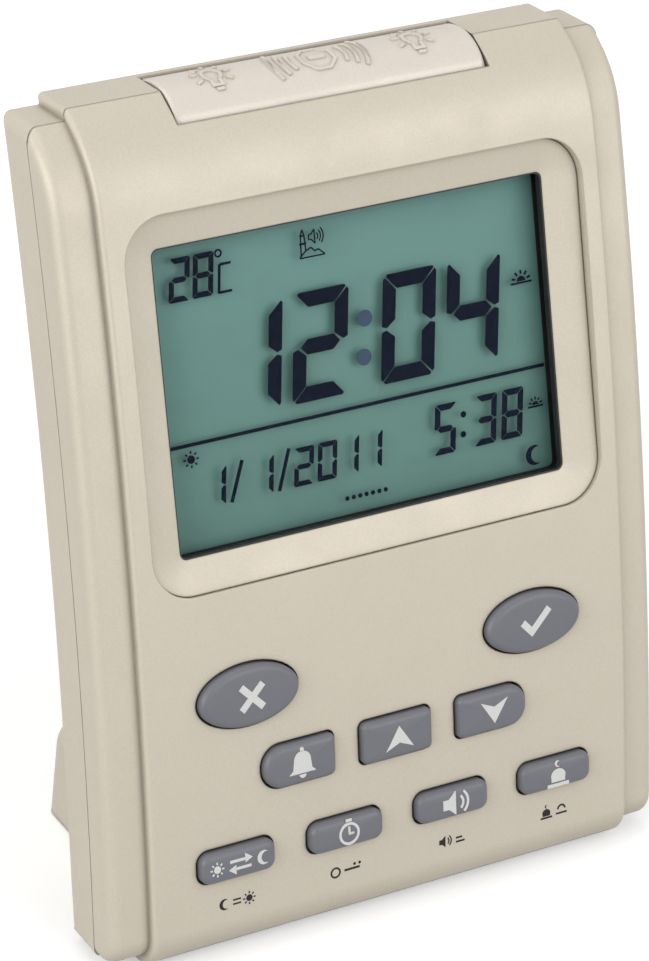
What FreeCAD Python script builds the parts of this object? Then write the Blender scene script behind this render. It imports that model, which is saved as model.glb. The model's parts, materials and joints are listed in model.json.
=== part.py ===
"""Desk clock for prayer times: a bowed slab that leans back on a battery foot.

Frame: +X to the clock's left-to-right as read, +Y to the back, +Z up, millimetres.
Z = 0 is the table.  Y = 0 is where the seam surface between front housing and rear
cover would meet the table.  Front, seam and back are arcs about one bow axis parallel to X.
"""
import FreeCAD, Part
import math
import os
import re

import Sketcher

Vector = FreeCAD.Vector
Rotation = FreeCAD.Rotation
Placement = FreeCAD.Placement

# ---------------------------------------------------------------- driving dimensions
SIZES = {
    # case
    "case_width": 100.0,
    "case_height": 125.6,
    "bow_radius": 700.0,
    "base_lean": 12.2,
    "wall_thickness": 2.0,
    "shoulder_width": 6.5,
    "panel_step": 1.6,
    "panel_rise": 7.2,
    "cover_depth": 7.4,
    "crown_drop": 4.6,
    "crown_round": 19.0,
    "toe_round": 5.6,
    "top_fall": 1.0,
    "shoulder_round": 2.0,
    "panel_edge_round": 0.8,
    "back_edge_round": 1.2,
    # battery foot
    "foot_side": 9.0,
    "foot_reach": 39.4,
    "foot_height": 17.1,
    "foot_root": 27.0,
    "foot_round": 6.0,
    "cell_diameter": 14.2,
    "cell_length": 50.0,
    "cell_gap": 0.4,
    "cell_nub": 1.0,
    "nub_radius": 2.7,
    "plus_room": 1.4,
    "spring_room": 4.6,
    "contact_thickness": 0.4,
    "leaf_length": 10.0,
    "leaf_nose": 1.0,
    "leaf_width": 6.0,
    "bay_wall": 1.5,
    "door_border": 1.5,
    "door_thickness": 1.6,
    "door_gap": 0.15,
    "door_lift": 0.2,
    "rib_count": 5,
    "rib_pitch": 1.8,
    "rib_length": 16.0,
    "rib_width": 0.8,
    "rib_depth": 0.5,
    "door_tongue": 1.0,
    "tongue_thickness": 0.7,
    # display
    "display_drop": 39.9,
    "display_lean": 20.0,
    "display_sink": 2.8,
    "bezel_margin": 3.3,
    "view_height": 47.2,
    "view_round": 1.2,
    "bezel_side": 5.8,
    "bezel_band": 5.4,
    "bezel_rake": 1.2,
    "bezel_round": 7.0,
    "bezel_gap": 0.1,
    "bezel_lip": 1.1,
    "bezel_throat": 1.4,
    "flange_thickness": 0.9,
    "window_thickness": 1.0,
    "window_border": 2.2,
    "glass_thickness": 1.8,
    "guide_thickness": 2.2,
    "holder_wall": 2.2,
    "display_fit": 0.2,
    # keys
    "key_lift": 4.8,
    "key_lean": 14.9,
    "key_gap": 0.35,
    "key_proud": 1.5,
    "key_travel": 0.8,
    "key_rim": 0.6,
    "key_skirt": 1.1,
    "skirt_thickness": 0.8,
    "skirt_depth": 2.6,
    "stem_radius": 2.0,
    "stem_stop": 0.1,
    "oval_margin": 9.15,
    "oval_row": 8.0,
    "oval_width": 17.3,
    "oval_height": 9.7,
    "middle_pitch": 17.5,
    "middle_row": -4.8,
    "middle_width": 12.6,
    "middle_height": 6.8,
    "low_margin": 7.9,
    "low_row": -18.2,
    "low_width": 13.0,
    "low_height": 5.0,
    "square_corner": 1.0,
    "round_corner": 3.2,
    "low_corner": 1.7,
    "mat_border": 4.2,
    "mat_thickness": 0.7,
    # boards
    "board_thickness": 1.2,
    "key_board_gap": 0.3,
    "key_board_top": 17.5,
    "key_board_bottom": -24.5,
    "main_board_gap": 2.0,
    "main_board_top": 24.0,
    "main_board_bottom": -29.0,
    "link_width": 10.0,
    "link_offset": 21.0,
    "link_thickness": 0.3,
    "link_tab": 3.5,
    "sensor_size": 2.4,
    "sensor_height": 1.0,
    "led_size": 1.6,
    "led_height": 1.4,
    "led_pitch": 14.0,
    "chip_radius": 6.0,
    "chip_height": 1.1,
    # stop bar
    "bar_width": 54.0,
    "bar_ahead": 4.94,
    "bar_behind": 6.36,
    "bar_front_drop": 2.4,
    "bar_back_drop": 0.9,
    "bar_radius": 8.6,
    "bar_depth": 3.2,
    "bar_lean": 23.0,
    "boss_drop": 7.2,
    "boss_radius": 2.6,
    "bar_bevel": 0.6,
    "bar_gap": 0.35,
    "bar_travel": 0.8,
    "tab_reach": 1.6,
    "tab_drop": 2.2,
    "tab_thickness": 1.0,
    "tab_depth": 4.5,
    "switch_size": 6.0,
    "switch_height": 3.5,
    "switch_bore": 1.8,
    "plunger_radius": 1.6,
    "shelf_drop": 14.6,
    "shelf_width": 30.0,
    "shelf_thickness": 1.4,
    "shelf_reach": 8.4,
    # speaker
    "speaker_lift": 6.5,
    "speaker_radius": 13.0,
    "speaker_depth": 4.0,
    "speaker_rim": 1.6,
    "cone_thickness": 0.4,
    "magnet_radius": 6.5,
    "slot_width": 1.4,
    "slot_circle": 11.0,
    "slot_pitch": 2.9,
    "slot_count": 7,
    # fasteners
    "screw_inset": 4.8,
    "screw_end": 10.3,
    "screw_radius": 1.25,
    "screw_head": 2.3,
    "head_height": 1.6,
    "head_sink": 3.0,
    "post_radius": 2.7,
    "column_wall": 1.0,
    "post_gap": 0.25,
    "wall_bite": 0.5,
    "bore_gap": 0.05,
    "board_screw_radius": 0.9,
    "board_head": 1.7,
    "board_post": 1.9,
    "board_screw_length": 3.6,
}

doc = FreeCAD.newDocument("prayer_clock")
sheet = doc.addObject("Spreadsheet::Sheet", "Sizes")
for row, (alias, number) in enumerate(SIZES.items(), start=1):
    sheet.set(f"A{row}", alias.replace("_", " "))
    sheet.set(f"B{row}", str(number))
    sheet.setAlias(f"B{row}", alias)
doc.recompute()

# ---------------------------------------------------------------- expressions
PANEL = "(bow_radius + panel_rise)"
SHOULDER = "(bow_radius + panel_rise - panel_step)"
SEAM = "bow_radius"
BACK = "(bow_radius - cover_depth)"
PANEL_IN = "(bow_radius + panel_rise - wall_thickness)"
SHOULDER_IN = "(bow_radius + panel_rise - panel_step - wall_thickness)"
BACK_IN = "(bow_radius - cover_depth + wall_thickness)"
PANEL_W = "(case_width - 2 * shoulder_width)"
CROWN = "(case_height - crown_drop)"
DISPLAY_Z = "(case_height - display_drop)"
BEZEL_FOOT_Z = f"({DISPLAY_Z} - (view_height / 2 + bezel_band) * cos(display_lean))"
KEYS_Z = f"({BEZEL_FOOT_Z} / 2 + key_lift)"


def bound(text):
    """Expression text with every alias pointed at the sheet."""
    return re.sub(r"\b[a-z]+(?:_[a-z]+)+\b", lambda found: "Sizes." + found.group(0), str(text))


def value(text):
    """Present value of an expression."""
    return float(sheet.evalExpression(bound(text)))


def bind(thing, path, text):
    thing.setExpression(path, bound(text))


def bow_y(radius, height):
    """Y of the bowed surface of that radius at a height."""
    sagitta = f"sqrt(({radius})^2 - (({height}) + bow_radius * sin(base_lean))^2)"
    return f"(bow_radius * cos(base_lean) - {sagitta})"


class Frame:
    """A leaning plane: X across, V up the plane, H out of its front."""

    def __init__(self, y, z, lean):
        self.y = y
        self.z = z
        self.lean = lean

    def base(self, v, h):
        y = f"({self.y}) + ({v}) * sin({self.lean}) - ({h}) * cos({self.lean})"
        z = f"({self.z}) + ({v}) * cos({self.lean}) + ({h}) * sin({self.lean})"
        return y, z


KEYS = Frame(bow_y(PANEL, KEYS_Z), KEYS_Z, "key_lean")
DISPLAY = Frame(bow_y(PANEL, DISPLAY_Z), DISPLAY_Z, "display_lean")
MIDDLE_LEAN = "(asin((case_height / 2) / bow_radius + sin(base_lean)) / (1 deg))"
MIDDLE = Frame(bow_y(SEAM, "case_height / 2"), "case_height / 2", MIDDLE_LEAN)
TOP = Frame(bow_y(SEAM, "case_height"), "case_height", "bar_lean")
SPEAKER_Z = f"({KEYS_Z} + speaker_lift)"
SPEAKER_LEAN = f"(asin(({SPEAKER_Z} + bow_radius * sin(base_lean)) / {BACK_IN}) / (1 deg))"
SPEAKER = Frame(bow_y(BACK_IN, SPEAKER_Z), SPEAKER_Z, SPEAKER_LEAN)


# ---------------------------------------------------------------- building blocks
def new_body(label):
    body = doc.addObject("PartDesign::Body", label)
    body.Label = label
    return body


def stand(thing, frame, x="0", v="0", h="0"):
    """Place a piece in a leaning frame."""
    thing.Placement = Placement(Vector(), Rotation(Vector(1, 0, 0), 90))
    y, z = frame.base(v, h)
    bind(thing, "Placement.Base.x", x)
    bind(thing, "Placement.Base.y", y)
    bind(thing, "Placement.Base.z", z)
    bind(thing, "Placement.Rotation.Angle", f"90 - ({frame.lean})")


def sketch_on(body, name, role="XY_Plane", frame=None, h="0"):
    """Sketch on an origin plane of the body, lifted by h or laid on a leaning frame."""
    sketch = body.newObject("Sketcher::SketchObject", name)
    plane = next(item for item in body.Origin.OriginFeatures if item.Role == role)
    sketch.AttachmentSupport = [(plane, "")]
    sketch.MapMode = "FlatFace"
    if frame is None:
        bind(sketch, "AttachmentOffset.Base.z", h)
        return sketch
    sketch.AttachmentOffset = Placement(Vector(), Rotation(Vector(1, 0, 0), 90))
    y, z = frame.base("0", h)
    bind(sketch, "AttachmentOffset.Base.y", y)
    bind(sketch, "AttachmentOffset.Base.z", z)
    bind(sketch, "AttachmentOffset.Rotation.Angle", f"90 - ({frame.lean})")
    return sketch


def pin_point(sketch, geometry, end, x, y):
    """Tie one point of the sketch to its two sizes."""
    for kind, text in (("DistanceX", x), ("DistanceY", y)):
        index = sketch.addConstraint(Sketcher.Constraint(kind, -1, 1, geometry, end, value(text)))
        bind(sketch, f"Constraints[{index}]", text)


def outline(sketch, points):
    """Closed outline through points (x, y) or (x, y, radius, side).

    A point with a radius starts an arc to the next point; side +1 has the arc's
    centre to the left of the way along the outline, -1 to the right.
    """
    spots = [Vector(value(point[0]), value(point[1]), 0) for point in points]
    first = None
    before = None
    for number, point in enumerate(points):
        start = spots[number]
        end = spots[(number + 1) % len(spots)]
        if len(point) == 2:
            line = sketch.addGeometry(Part.LineSegment(start, end), False)
            ends = (line, 1, 2)
        else:
            radius = value(point[2])
            chord = end - start
            rise = math.sqrt(max(radius**2 - (chord.Length / 2) ** 2, 0.0))
            left = Vector(-chord.y, chord.x, 0).normalize()
            centre = (start + end) * 0.5 + left * (rise * point[3])
            circle = Part.Circle(centre, Vector(0, 0, 1), radius)
            angles = [math.atan2(spot.y - centre.y, spot.x - centre.x) for spot in (start, end)]
            if point[3] < 0:
                angles.reverse()
            arc = sketch.addGeometry(Part.ArcOfCircle(circle, angles[0], angles[1]), False)
            ends = (arc, 1, 2) if point[3] > 0 else (arc, 2, 1)
            index = sketch.addConstraint(Sketcher.Constraint("Radius", arc, radius))
            bind(sketch, f"Constraints[{index}]", point[2])
        pin_point(sketch, ends[0], ends[1], point[0], point[1])
        if before is not None:
            sketch.addConstraint(Sketcher.Constraint("Coincident", before[0], before[2], ends[0], ends[1]))
        else:
            first = ends
        before = ends
    sketch.addConstraint(Sketcher.Constraint("Coincident", before[0], before[2], first[0], first[1]))


def box_outline(sketch, x, y, width, height, left=None, right=None):
    """Rectangle about (x, y), its left and right corners rounded if radii are given."""
    right = left if right is None else right
    west, east = f"({x}) - ({width}) / 2", f"({x}) + ({width}) / 2"
    south, north = f"({y}) - ({height}) / 2", f"({y}) + ({height}) / 2"
    if left is None:
        outline(sketch, [(west, south), (east, south), (east, north), (west, north)])
        return
    outline(sketch, [
        (f"{west} + ({left})", south),
        (f"{east} - ({right})", south, right, 1),
        (east, f"{south} + ({right})"),
        (east, f"{north} - ({right})", right, 1),
        (f"{east} - ({right})", north),
        (f"{west} + ({left})", north, left, 1),
        (west, f"{north} - ({left})"),
        (west, f"{south} + ({left})", left, 1),
    ])


def circle_outline(sketch, x, y, radius):
    centre = Vector(value(x), value(y), 0)
    circle = sketch.addGeometry(Part.Circle(centre, Vector(0, 0, 1), value(radius)), False)
    index = sketch.addConstraint(Sketcher.Constraint("Radius", circle, value(radius)))
    bind(sketch, f"Constraints[{index}]", radius)
    pin_point(sketch, circle, 3, x, y)


def oval_outline(sketch, x, y, width, height):
    """Ellipse about (x, y)."""
    centre = Vector(value(x), value(y), 0)
    major = centre + Vector(value(width) / 2, 0, 0)
    minor = centre + Vector(0, value(height) / 2, 0)
    oval = sketch.addGeometry(Part.Ellipse(major, minor, centre), False)
    sketch.exposeInternalGeometry(oval)
    pin_point(sketch, oval, 3, x, y)
    sketch.addConstraint(Sketcher.Constraint("Horizontal", oval + 1))
    for axis, text in ((oval + 1, width), (oval + 2, height)):
        index = sketch.addConstraint(Sketcher.Constraint("Distance", axis, value(text)))
        bind(sketch, f"Constraints[{index}]", text)


def settle(feature):
    """Recompute, and stop at the feature that fails."""
    doc.recompute()
    if "Invalid" in feature.State:
        raise RuntimeError(f"{feature.Name}: {feature.getStatusString()}")
    return feature


def extrude(body, kind, sketch, length, both_ways=False, backwards=False):
    """Pad or Pocket of a sketch."""
    feature = body.newObject(f"PartDesign::{kind}", f"{sketch.Name}_{kind.lower()}")
    feature.Profile = sketch
    if both_ways:
        feature.SideType = "Symmetric"
    feature.Reversed = backwards
    bind(feature, "Length", length)
    return settle(feature)


def revolve(body, sketch, axis="V_Axis", kind="Revolution"):
    feature = body.newObject(f"PartDesign::{kind}", f"{sketch.Name}_turned")
    feature.Profile = sketch
    feature.ReferenceAxis = (sketch, [axis])
    feature.Angle = 360.0
    return settle(feature)


def soften(body, kind, size, chosen):
    """Fillet or Chamfer on the edges of the body's tip that the test picks."""
    tip = body.Tip
    names = [f"Edge{n}" for n, edge in enumerate(tip.Shape.Edges, start=1) if chosen(edge)]
    if not names:
        raise RuntimeError(f"{body.Label}: no edge to soften by {size}")
    feature = body.newObject(f"PartDesign::{kind}", f"{body.Name}_{kind.lower()}")
    feature.Base = (tip, names)
    bind(feature, "Radius" if kind == "Fillet" else "Size", size)
    return settle(feature)


def middle_of(edge):
    return edge.valueAt((edge.FirstParameter + edge.LastParameter) / 2)


def across_at(y, z, reach=0.02):
    """Test for edges that run along X through (y, z)."""
    spot_y, spot_z = value(y), value(z)

    def test(edge):
        ends = [vertex.Point for vertex in edge.Vertexes]
        return all(abs(p.y - spot_y) < reach and abs(p.z - spot_z) < reach for p in ends)

    return test


def level_at(height, reach=0.01):
    """Test for edges that lie in the body's own plane Z = height."""
    level = value(height)
    return lambda edge: all(abs(v.Point.z - level) < reach for v in edge.Vertexes) and abs(
        middle_of(edge).z - level) < reach


def plate(label, frame, depth, thickness, draw):
    """Flat piece in a leaning frame, its front face that deep below the frame's plane."""
    body = new_body(label)
    sketch = sketch_on(body, f"{label}_outline")
    draw(sketch)
    extrude(body, "Pad", sketch, thickness)
    stand(body, frame, h=f"-({depth}) - ({thickness})")
    return body


def bow_distance(point):
    """Distance of a point from the bow axis."""
    ahead = point.y - value("bow_radius * cos(base_lean)")
    above = point.z + value("bow_radius * sin(base_lean)")
    return math.hypot(ahead, above)


def flank_at(half_width, core=None):
    """Test for outline edges on the flanks X = +-half_width, clear of the seam and proud of a core."""
    half, seam = value(half_width), value(SEAM)

    def test(edge):
        middle = middle_of(edge)
        spots = [vertex.Point for vertex in edge.Vertexes] + [middle]
        if any(abs(abs(p.x) - half) > 0.01 for p in spots) or abs(bow_distance(middle) - seam) < 0.05:
            return False
        if core is None or core.isNull():
            return True
        return core.distToShape(Part.Vertex(middle))[0] > value("panel_step / 2")

    return test


# ---------------------------------------------------------------- keys
LEFT, RIGHT = "-1", "1"
OVAL_PITCH = f"({PANEL_W} - oval_width - 2 * oval_margin)"
LOW_PITCH = f"(({PANEL_W} - low_width - 2 * low_margin) / 3)"
KEY_BOARD_W = f"({PANEL_W} - 2 * wall_thickness - 2 * key_board_gap)"
MAT_W = f"({KEY_BOARD_W} - 2 * mat_border)"
KEY_TABLE = {
    # name: (outline, x, v, left corner, right corner)
    "exit_key": ("oval", f"-{OVAL_PITCH} / 2", "oval_row", None, None),
    "set_key": ("oval", f"{OVAL_PITCH} / 2", "oval_row", None, None),
    "alarm_key": ("middle", "-middle_pitch", "middle_row", "round_corner", "square_corner"),
    "up_key": ("middle", "0", "middle_row", "square_corner", "square_corner"),
    "down_key": ("middle", "middle_pitch", "middle_row", "square_corner", "round_corner"),
    "calendar_key": ("low", f"-1.5 * {LOW_PITCH}", "low_row", "low_corner", "low_corner"),
    "iqamah_key": ("low", f"-0.5 * {LOW_PITCH}", "low_row", "low_corner", "low_corner"),
    "sound_key": ("low", f"0.5 * {LOW_PITCH}", "low_row", "low_corner", "low_corner"),
    "azan_key": ("low", f"1.5 * {LOW_PITCH}", "low_row", "low_corner", "low_corner"),
}


def key_outline(sketch, key, x, v, margin):
    """Outline of a key, grown by a margin all round."""
    shape, left, right = KEY_TABLE[key][0], KEY_TABLE[key][3], KEY_TABLE[key][4]
    width, height = f"{shape}_width + 2 * ({margin})", f"{shape}_height + 2 * ({margin})"
    if shape == "oval":
        oval_outline(sketch, x, v, width, height)
    else:
        box_outline(sketch, x, v, width, height, f"{left} + ({margin})", f"{right} + ({margin})")


MAT_DEPTH = "(skirt_depth + skirt_thickness + key_travel + display_fit)"
KEY_BOARD_DEPTH = f"({MAT_DEPTH} + mat_thickness)"


def make_key(key):
    """Rubber key: proud cap with a soft rim, a skirt under the panel and a contact stem."""
    body = new_body(key)
    skirt_low = "-(skirt_depth + skirt_thickness)"
    stem_low = f"-({KEY_BOARD_DEPTH} - key_travel - stem_stop)"
    stem = sketch_on(body, f"{key}_stem", h=stem_low)
    circle_outline(stem, "0", "0", "stem_radius")
    extrude(body, "Pad", stem, f"{skirt_low} - ({stem_low}) + skirt_thickness / 2")
    skirt = sketch_on(body, f"{key}_skirt", h=skirt_low)
    key_outline(skirt, key, "0", "0", "key_skirt")
    extrude(body, "Pad", skirt, "skirt_thickness")
    cap = sketch_on(body, f"{key}_cap", h=skirt_low)
    key_outline(cap, key, "0", "0", "0")
    extrude(body, "Pad", cap, "skirt_depth + skirt_thickness + key_proud")
    soften(body, "Chamfer", "key_rim", level_at("key_proud"))
    stand(body, KEYS, x=KEY_TABLE[key][1], v=KEY_TABLE[key][2])
    return body


BOARD_SPOTS = [(f"-{MAT_W} / 2 - board_post - display_fit", "middle_row"),
               (f"{MAT_W} / 2 + board_post + display_fit", "middle_row"),
               ("0", "oval_row + display_fit")]


def draw_mat(sketch):
    middle = "(key_board_top + key_board_bottom) / 2"
    tall = "key_board_top - key_board_bottom - 1"
    box_outline(sketch, "0", middle, MAT_W, tall, "square_corner")
    for key, entry in KEY_TABLE.items():
        circle_outline(sketch, entry[1], entry[2], "stem_radius + key_gap")
    circle_outline(sketch, BOARD_SPOTS[2][0], BOARD_SPOTS[2][1], "board_post + key_gap")


def draw_key_board(sketch):
    middle = "(key_board_top + key_board_bottom) / 2"
    box_outline(sketch, "0", middle, KEY_BOARD_W, "key_board_top - key_board_bottom", "square_corner")
    for x, v in BOARD_SPOTS:
        circle_outline(sketch, x, v, "board_screw_radius + bore_gap")


# ---------------------------------------------------------------- display
VIEW_W = f"({PANEL_W} - 2 * bezel_side - 2 * bezel_margin)"
VIEW = ("0", "0", VIEW_W, "view_height")
BEZEL_W = f"({VIEW_W} + 2 * bezel_side)"
BEZEL_H = "(view_height + 2 * bezel_band)"
FLANGE_DEPTH = "(display_sink + bezel_throat - flange_thickness)"
WINDOW_DEPTH = "(display_sink + bezel_throat)"
GLASS_DEPTH = f"({WINDOW_DEPTH} + window_thickness + display_fit)"
GUIDE_DEPTH = f"({GLASS_DEPTH} + glass_thickness)"
MAIN_BOARD_DEPTH = f"({GUIDE_DEPTH} + guide_thickness)"
GLASS_W = f"({VIEW_W} + 2 * window_border)"
GLASS_H = "(view_height + 2 * window_border)"
MAIN_BOARD_W = "(case_width - 2 * wall_thickness - 2 * main_board_gap)"
MAIN_SPOTS = [(f"{side} * ({MAIN_BOARD_W} / 2 - board_post)", level)
              for side in (LEFT, RIGHT)
              for level in ("main_board_bottom + board_post + 1", "main_board_top - board_post - 1")]


def make_bezel():
    """Raked frame in the panel's opening: a loft from its outer foot to the view edge."""
    body = new_body("display_bezel")
    inner_depth = "display_sink"
    flange = sketch_on(body, "bezel_flange", h=f"-({WINDOW_DEPTH})")
    box_outline(flange, "0", "0", f"{BEZEL_W} + 2 * bezel_lip", f"{BEZEL_H} + 2 * bezel_lip", "bezel_round")
    extrude(body, "Pad", flange, "flange_thickness")
    block = sketch_on(body, "bezel_block", h=f"-({WINDOW_DEPTH})")
    box_outline(block, "0", "0", f"{BEZEL_W} - 2 * bezel_gap", f"{BEZEL_H} - 2 * bezel_gap",
                "bezel_round - bezel_gap")
    extrude(body, "Pad", block, "bezel_throat + bezel_rake")
    throat = sketch_on(body, "bezel_throat_cut", h=f"-({inner_depth})")
    box_outline(throat, *VIEW, "view_round")
    mouth = sketch_on(body, "bezel_mouth", h=f"-({inner_depth}) + bezel_rake")
    box_outline(mouth, "0", "0", f"{BEZEL_W} - 2 * bezel_gap", f"{BEZEL_H} - 2 * bezel_gap",
                "bezel_round - bezel_gap")
    rake = body.newObject("PartDesign::SubtractiveLoft", "bezel_rake_cut")
    rake.Profile = throat
    rake.Sections = [mouth]
    settle(rake)
    through = sketch_on(body, "bezel_view", h=f"-({inner_depth})")
    box_outline(through, *VIEW, "view_round")
    extrude(body, "Pocket", through, "bezel_throat + display_fit")
    stand(body, DISPLAY)
    return body


def draw_window(sketch):
    box_outline(sketch, "0", "0", GLASS_W, GLASS_H, "view_round")


LED_ROOM = "(window_border + display_fit)"


def draw_guide(sketch):
    """Light guide: short of the glass below for the elastomer strip and at the left for the lamps."""
    box_outline(sketch, f"{LED_ROOM} / 2", "window_border / 2", f"{GLASS_W} - {LED_ROOM}",
                f"{GLASS_H} - window_border", "view_round")


def draw_holder(sketch):
    box_outline(sketch, "0", "0", f"{GLASS_W} + 2 * (holder_wall + display_fit)",
                f"{GLASS_H} + 2 * (holder_wall + display_fit)", "view_round + holder_wall")
    box_outline(sketch, "0", "0", f"{GLASS_W} + 2 * display_fit", f"{GLASS_H} + 2 * display_fit",
                "view_round")


def draw_strip(sketch):
    middle = f"-({GLASS_H}) / 2 + window_border / 2"
    box_outline(sketch, "0", middle, VIEW_W, "window_border - 2 * display_fit")


def draw_main_board(sketch):
    middle = "(main_board_top + main_board_bottom) / 2"
    box_outline(sketch, "0", middle, MAIN_BOARD_W, "main_board_top - main_board_bottom", "square_corner")
    for x, v in MAIN_SPOTS:
        circle_outline(sketch, x, v, "board_screw_radius + bore_gap")


# ---------------------------------------------------------------- case
def front_profile(sketch, radius, drop):
    """Side outline ahead of the seam, lowered and raised by a step."""
    crown, ridge = f"({CROWN} - {drop})", f"(case_height - {drop})"
    outline(sketch, [
        (bow_y(SEAM, drop), drop),
        (bow_y(radius, drop), drop, radius, -1),
        (bow_y(radius, crown), crown),
        (bow_y(SEAM, ridge), ridge, SEAM, 1),
    ])


def front_hollow(sketch, radius, drop):
    """Side outline of the hollow behind the front wall, open past the seam."""
    foot = f"({drop} + wall_thickness)"
    crown, ridge = f"({CROWN} - {drop} - wall_thickness)", f"(case_height - {drop} - wall_thickness)"
    outline(sketch, [
        (bow_y(radius, foot), foot, radius, -1),
        (bow_y(radius, crown), crown),
        (bow_y(SEAM, f"(case_height - {drop})"), ridge),
        (f"{bow_y(SEAM, ridge)} + cover_depth", ridge),
        (f"{bow_y(SEAM, foot)} + cover_depth", foot),
    ])


def rear_profile(sketch, drop):
    """Side outline between the seam and the back."""
    ridge, back_top = f"(case_height - {drop})", f"(case_height - top_fall - {drop})"
    outline(sketch, [
        (bow_y(BACK, drop), drop),
        (bow_y(SEAM, drop), drop, SEAM, -1),
        (bow_y(SEAM, ridge), ridge),
        (bow_y(BACK, back_top), back_top, BACK, 1),
    ])


def rear_hollow(sketch, drop):
    """Side outline of the hollow ahead of the back wall, open past the seam."""
    foot = f"({drop} + wall_thickness)"
    top = f"(case_height - top_fall - {drop} - wall_thickness)"
    reach = "(2 * cover_depth)"
    outline(sketch, [
        (bow_y(BACK_IN, foot), foot),
        (f"{bow_y(BACK_IN, foot)} - {reach}", foot),
        (f"{bow_y(BACK_IN, top)} - {reach}", top),
        (bow_y(BACK_IN, top), top, BACK_IN, 1),
    ])


SCREW_X = "(case_width / 2 - screw_inset)"
SCREW_REACH = "(case_height / 2 - screw_end)"
SCREW_SPOTS = [(f"{side} * {SCREW_X}", f"{level} * {SCREW_REACH}")
               for side in (LEFT, RIGHT) for level in (LEFT, RIGHT)]
SEAM_SAG = f"(bow_radius - sqrt(bow_radius^2 - {SCREW_REACH}^2))"
BACK_SAG = f"({SEAM_SAG} + cover_depth)"
POST_RISE = "(panel_rise - panel_step - wall_thickness)"


def circles_at(sketch, spots, radius):
    for x, v in spots:
        circle_outline(sketch, x, v, radius)


BAR_FRONT = (f"({TOP.y} - bar_ahead)", "(case_height - bar_front_drop)")
BAR_BACK = (f"({TOP.y} + bar_behind)", "(case_height - bar_back_drop)")
BAR_LOW = f"({BAR_FRONT[1]} - bar_depth)"
BAR_SLANT = "(sin(bar_lean) / cos(bar_lean))"


def bar_profile(sketch, gap, above, below, crowned):
    """Side outline of the stop bar, or of its opening with a gap, slanting with the case."""
    shift = f"({gap} / cos(bar_lean))"
    low = f"({BAR_LOW} - ({below}))"

    def spot(edge, side, height):
        return f"({edge[0]} {side} {shift} + ({height} - {edge[1]}) * {BAR_SLANT})"

    front_high, back_high = f"({BAR_FRONT[1]} + {above})", f"({BAR_BACK[1]} + {above})"
    back_top = (spot(BAR_BACK, "+", back_high), back_high)
    outline(sketch, [
        (spot(BAR_FRONT, "-", low), low),
        (spot(BAR_BACK, "+", low), low),
        back_top + ("bar_radius", 1) if crowned else back_top,
        (spot(BAR_FRONT, "-", front_high), front_high),
    ])


def bar_opening(body, name):
    """Opening for the stop bar through the top of a case half."""
    sketch = sketch_on(body, name, "YZ_Plane")
    bar_profile(sketch, "bar_gap", "2 * wall_thickness", "bar_travel + display_fit", False)
    extrude(body, "Pocket", sketch, "bar_width + 2 * bar_gap", both_ways=True)


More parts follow.
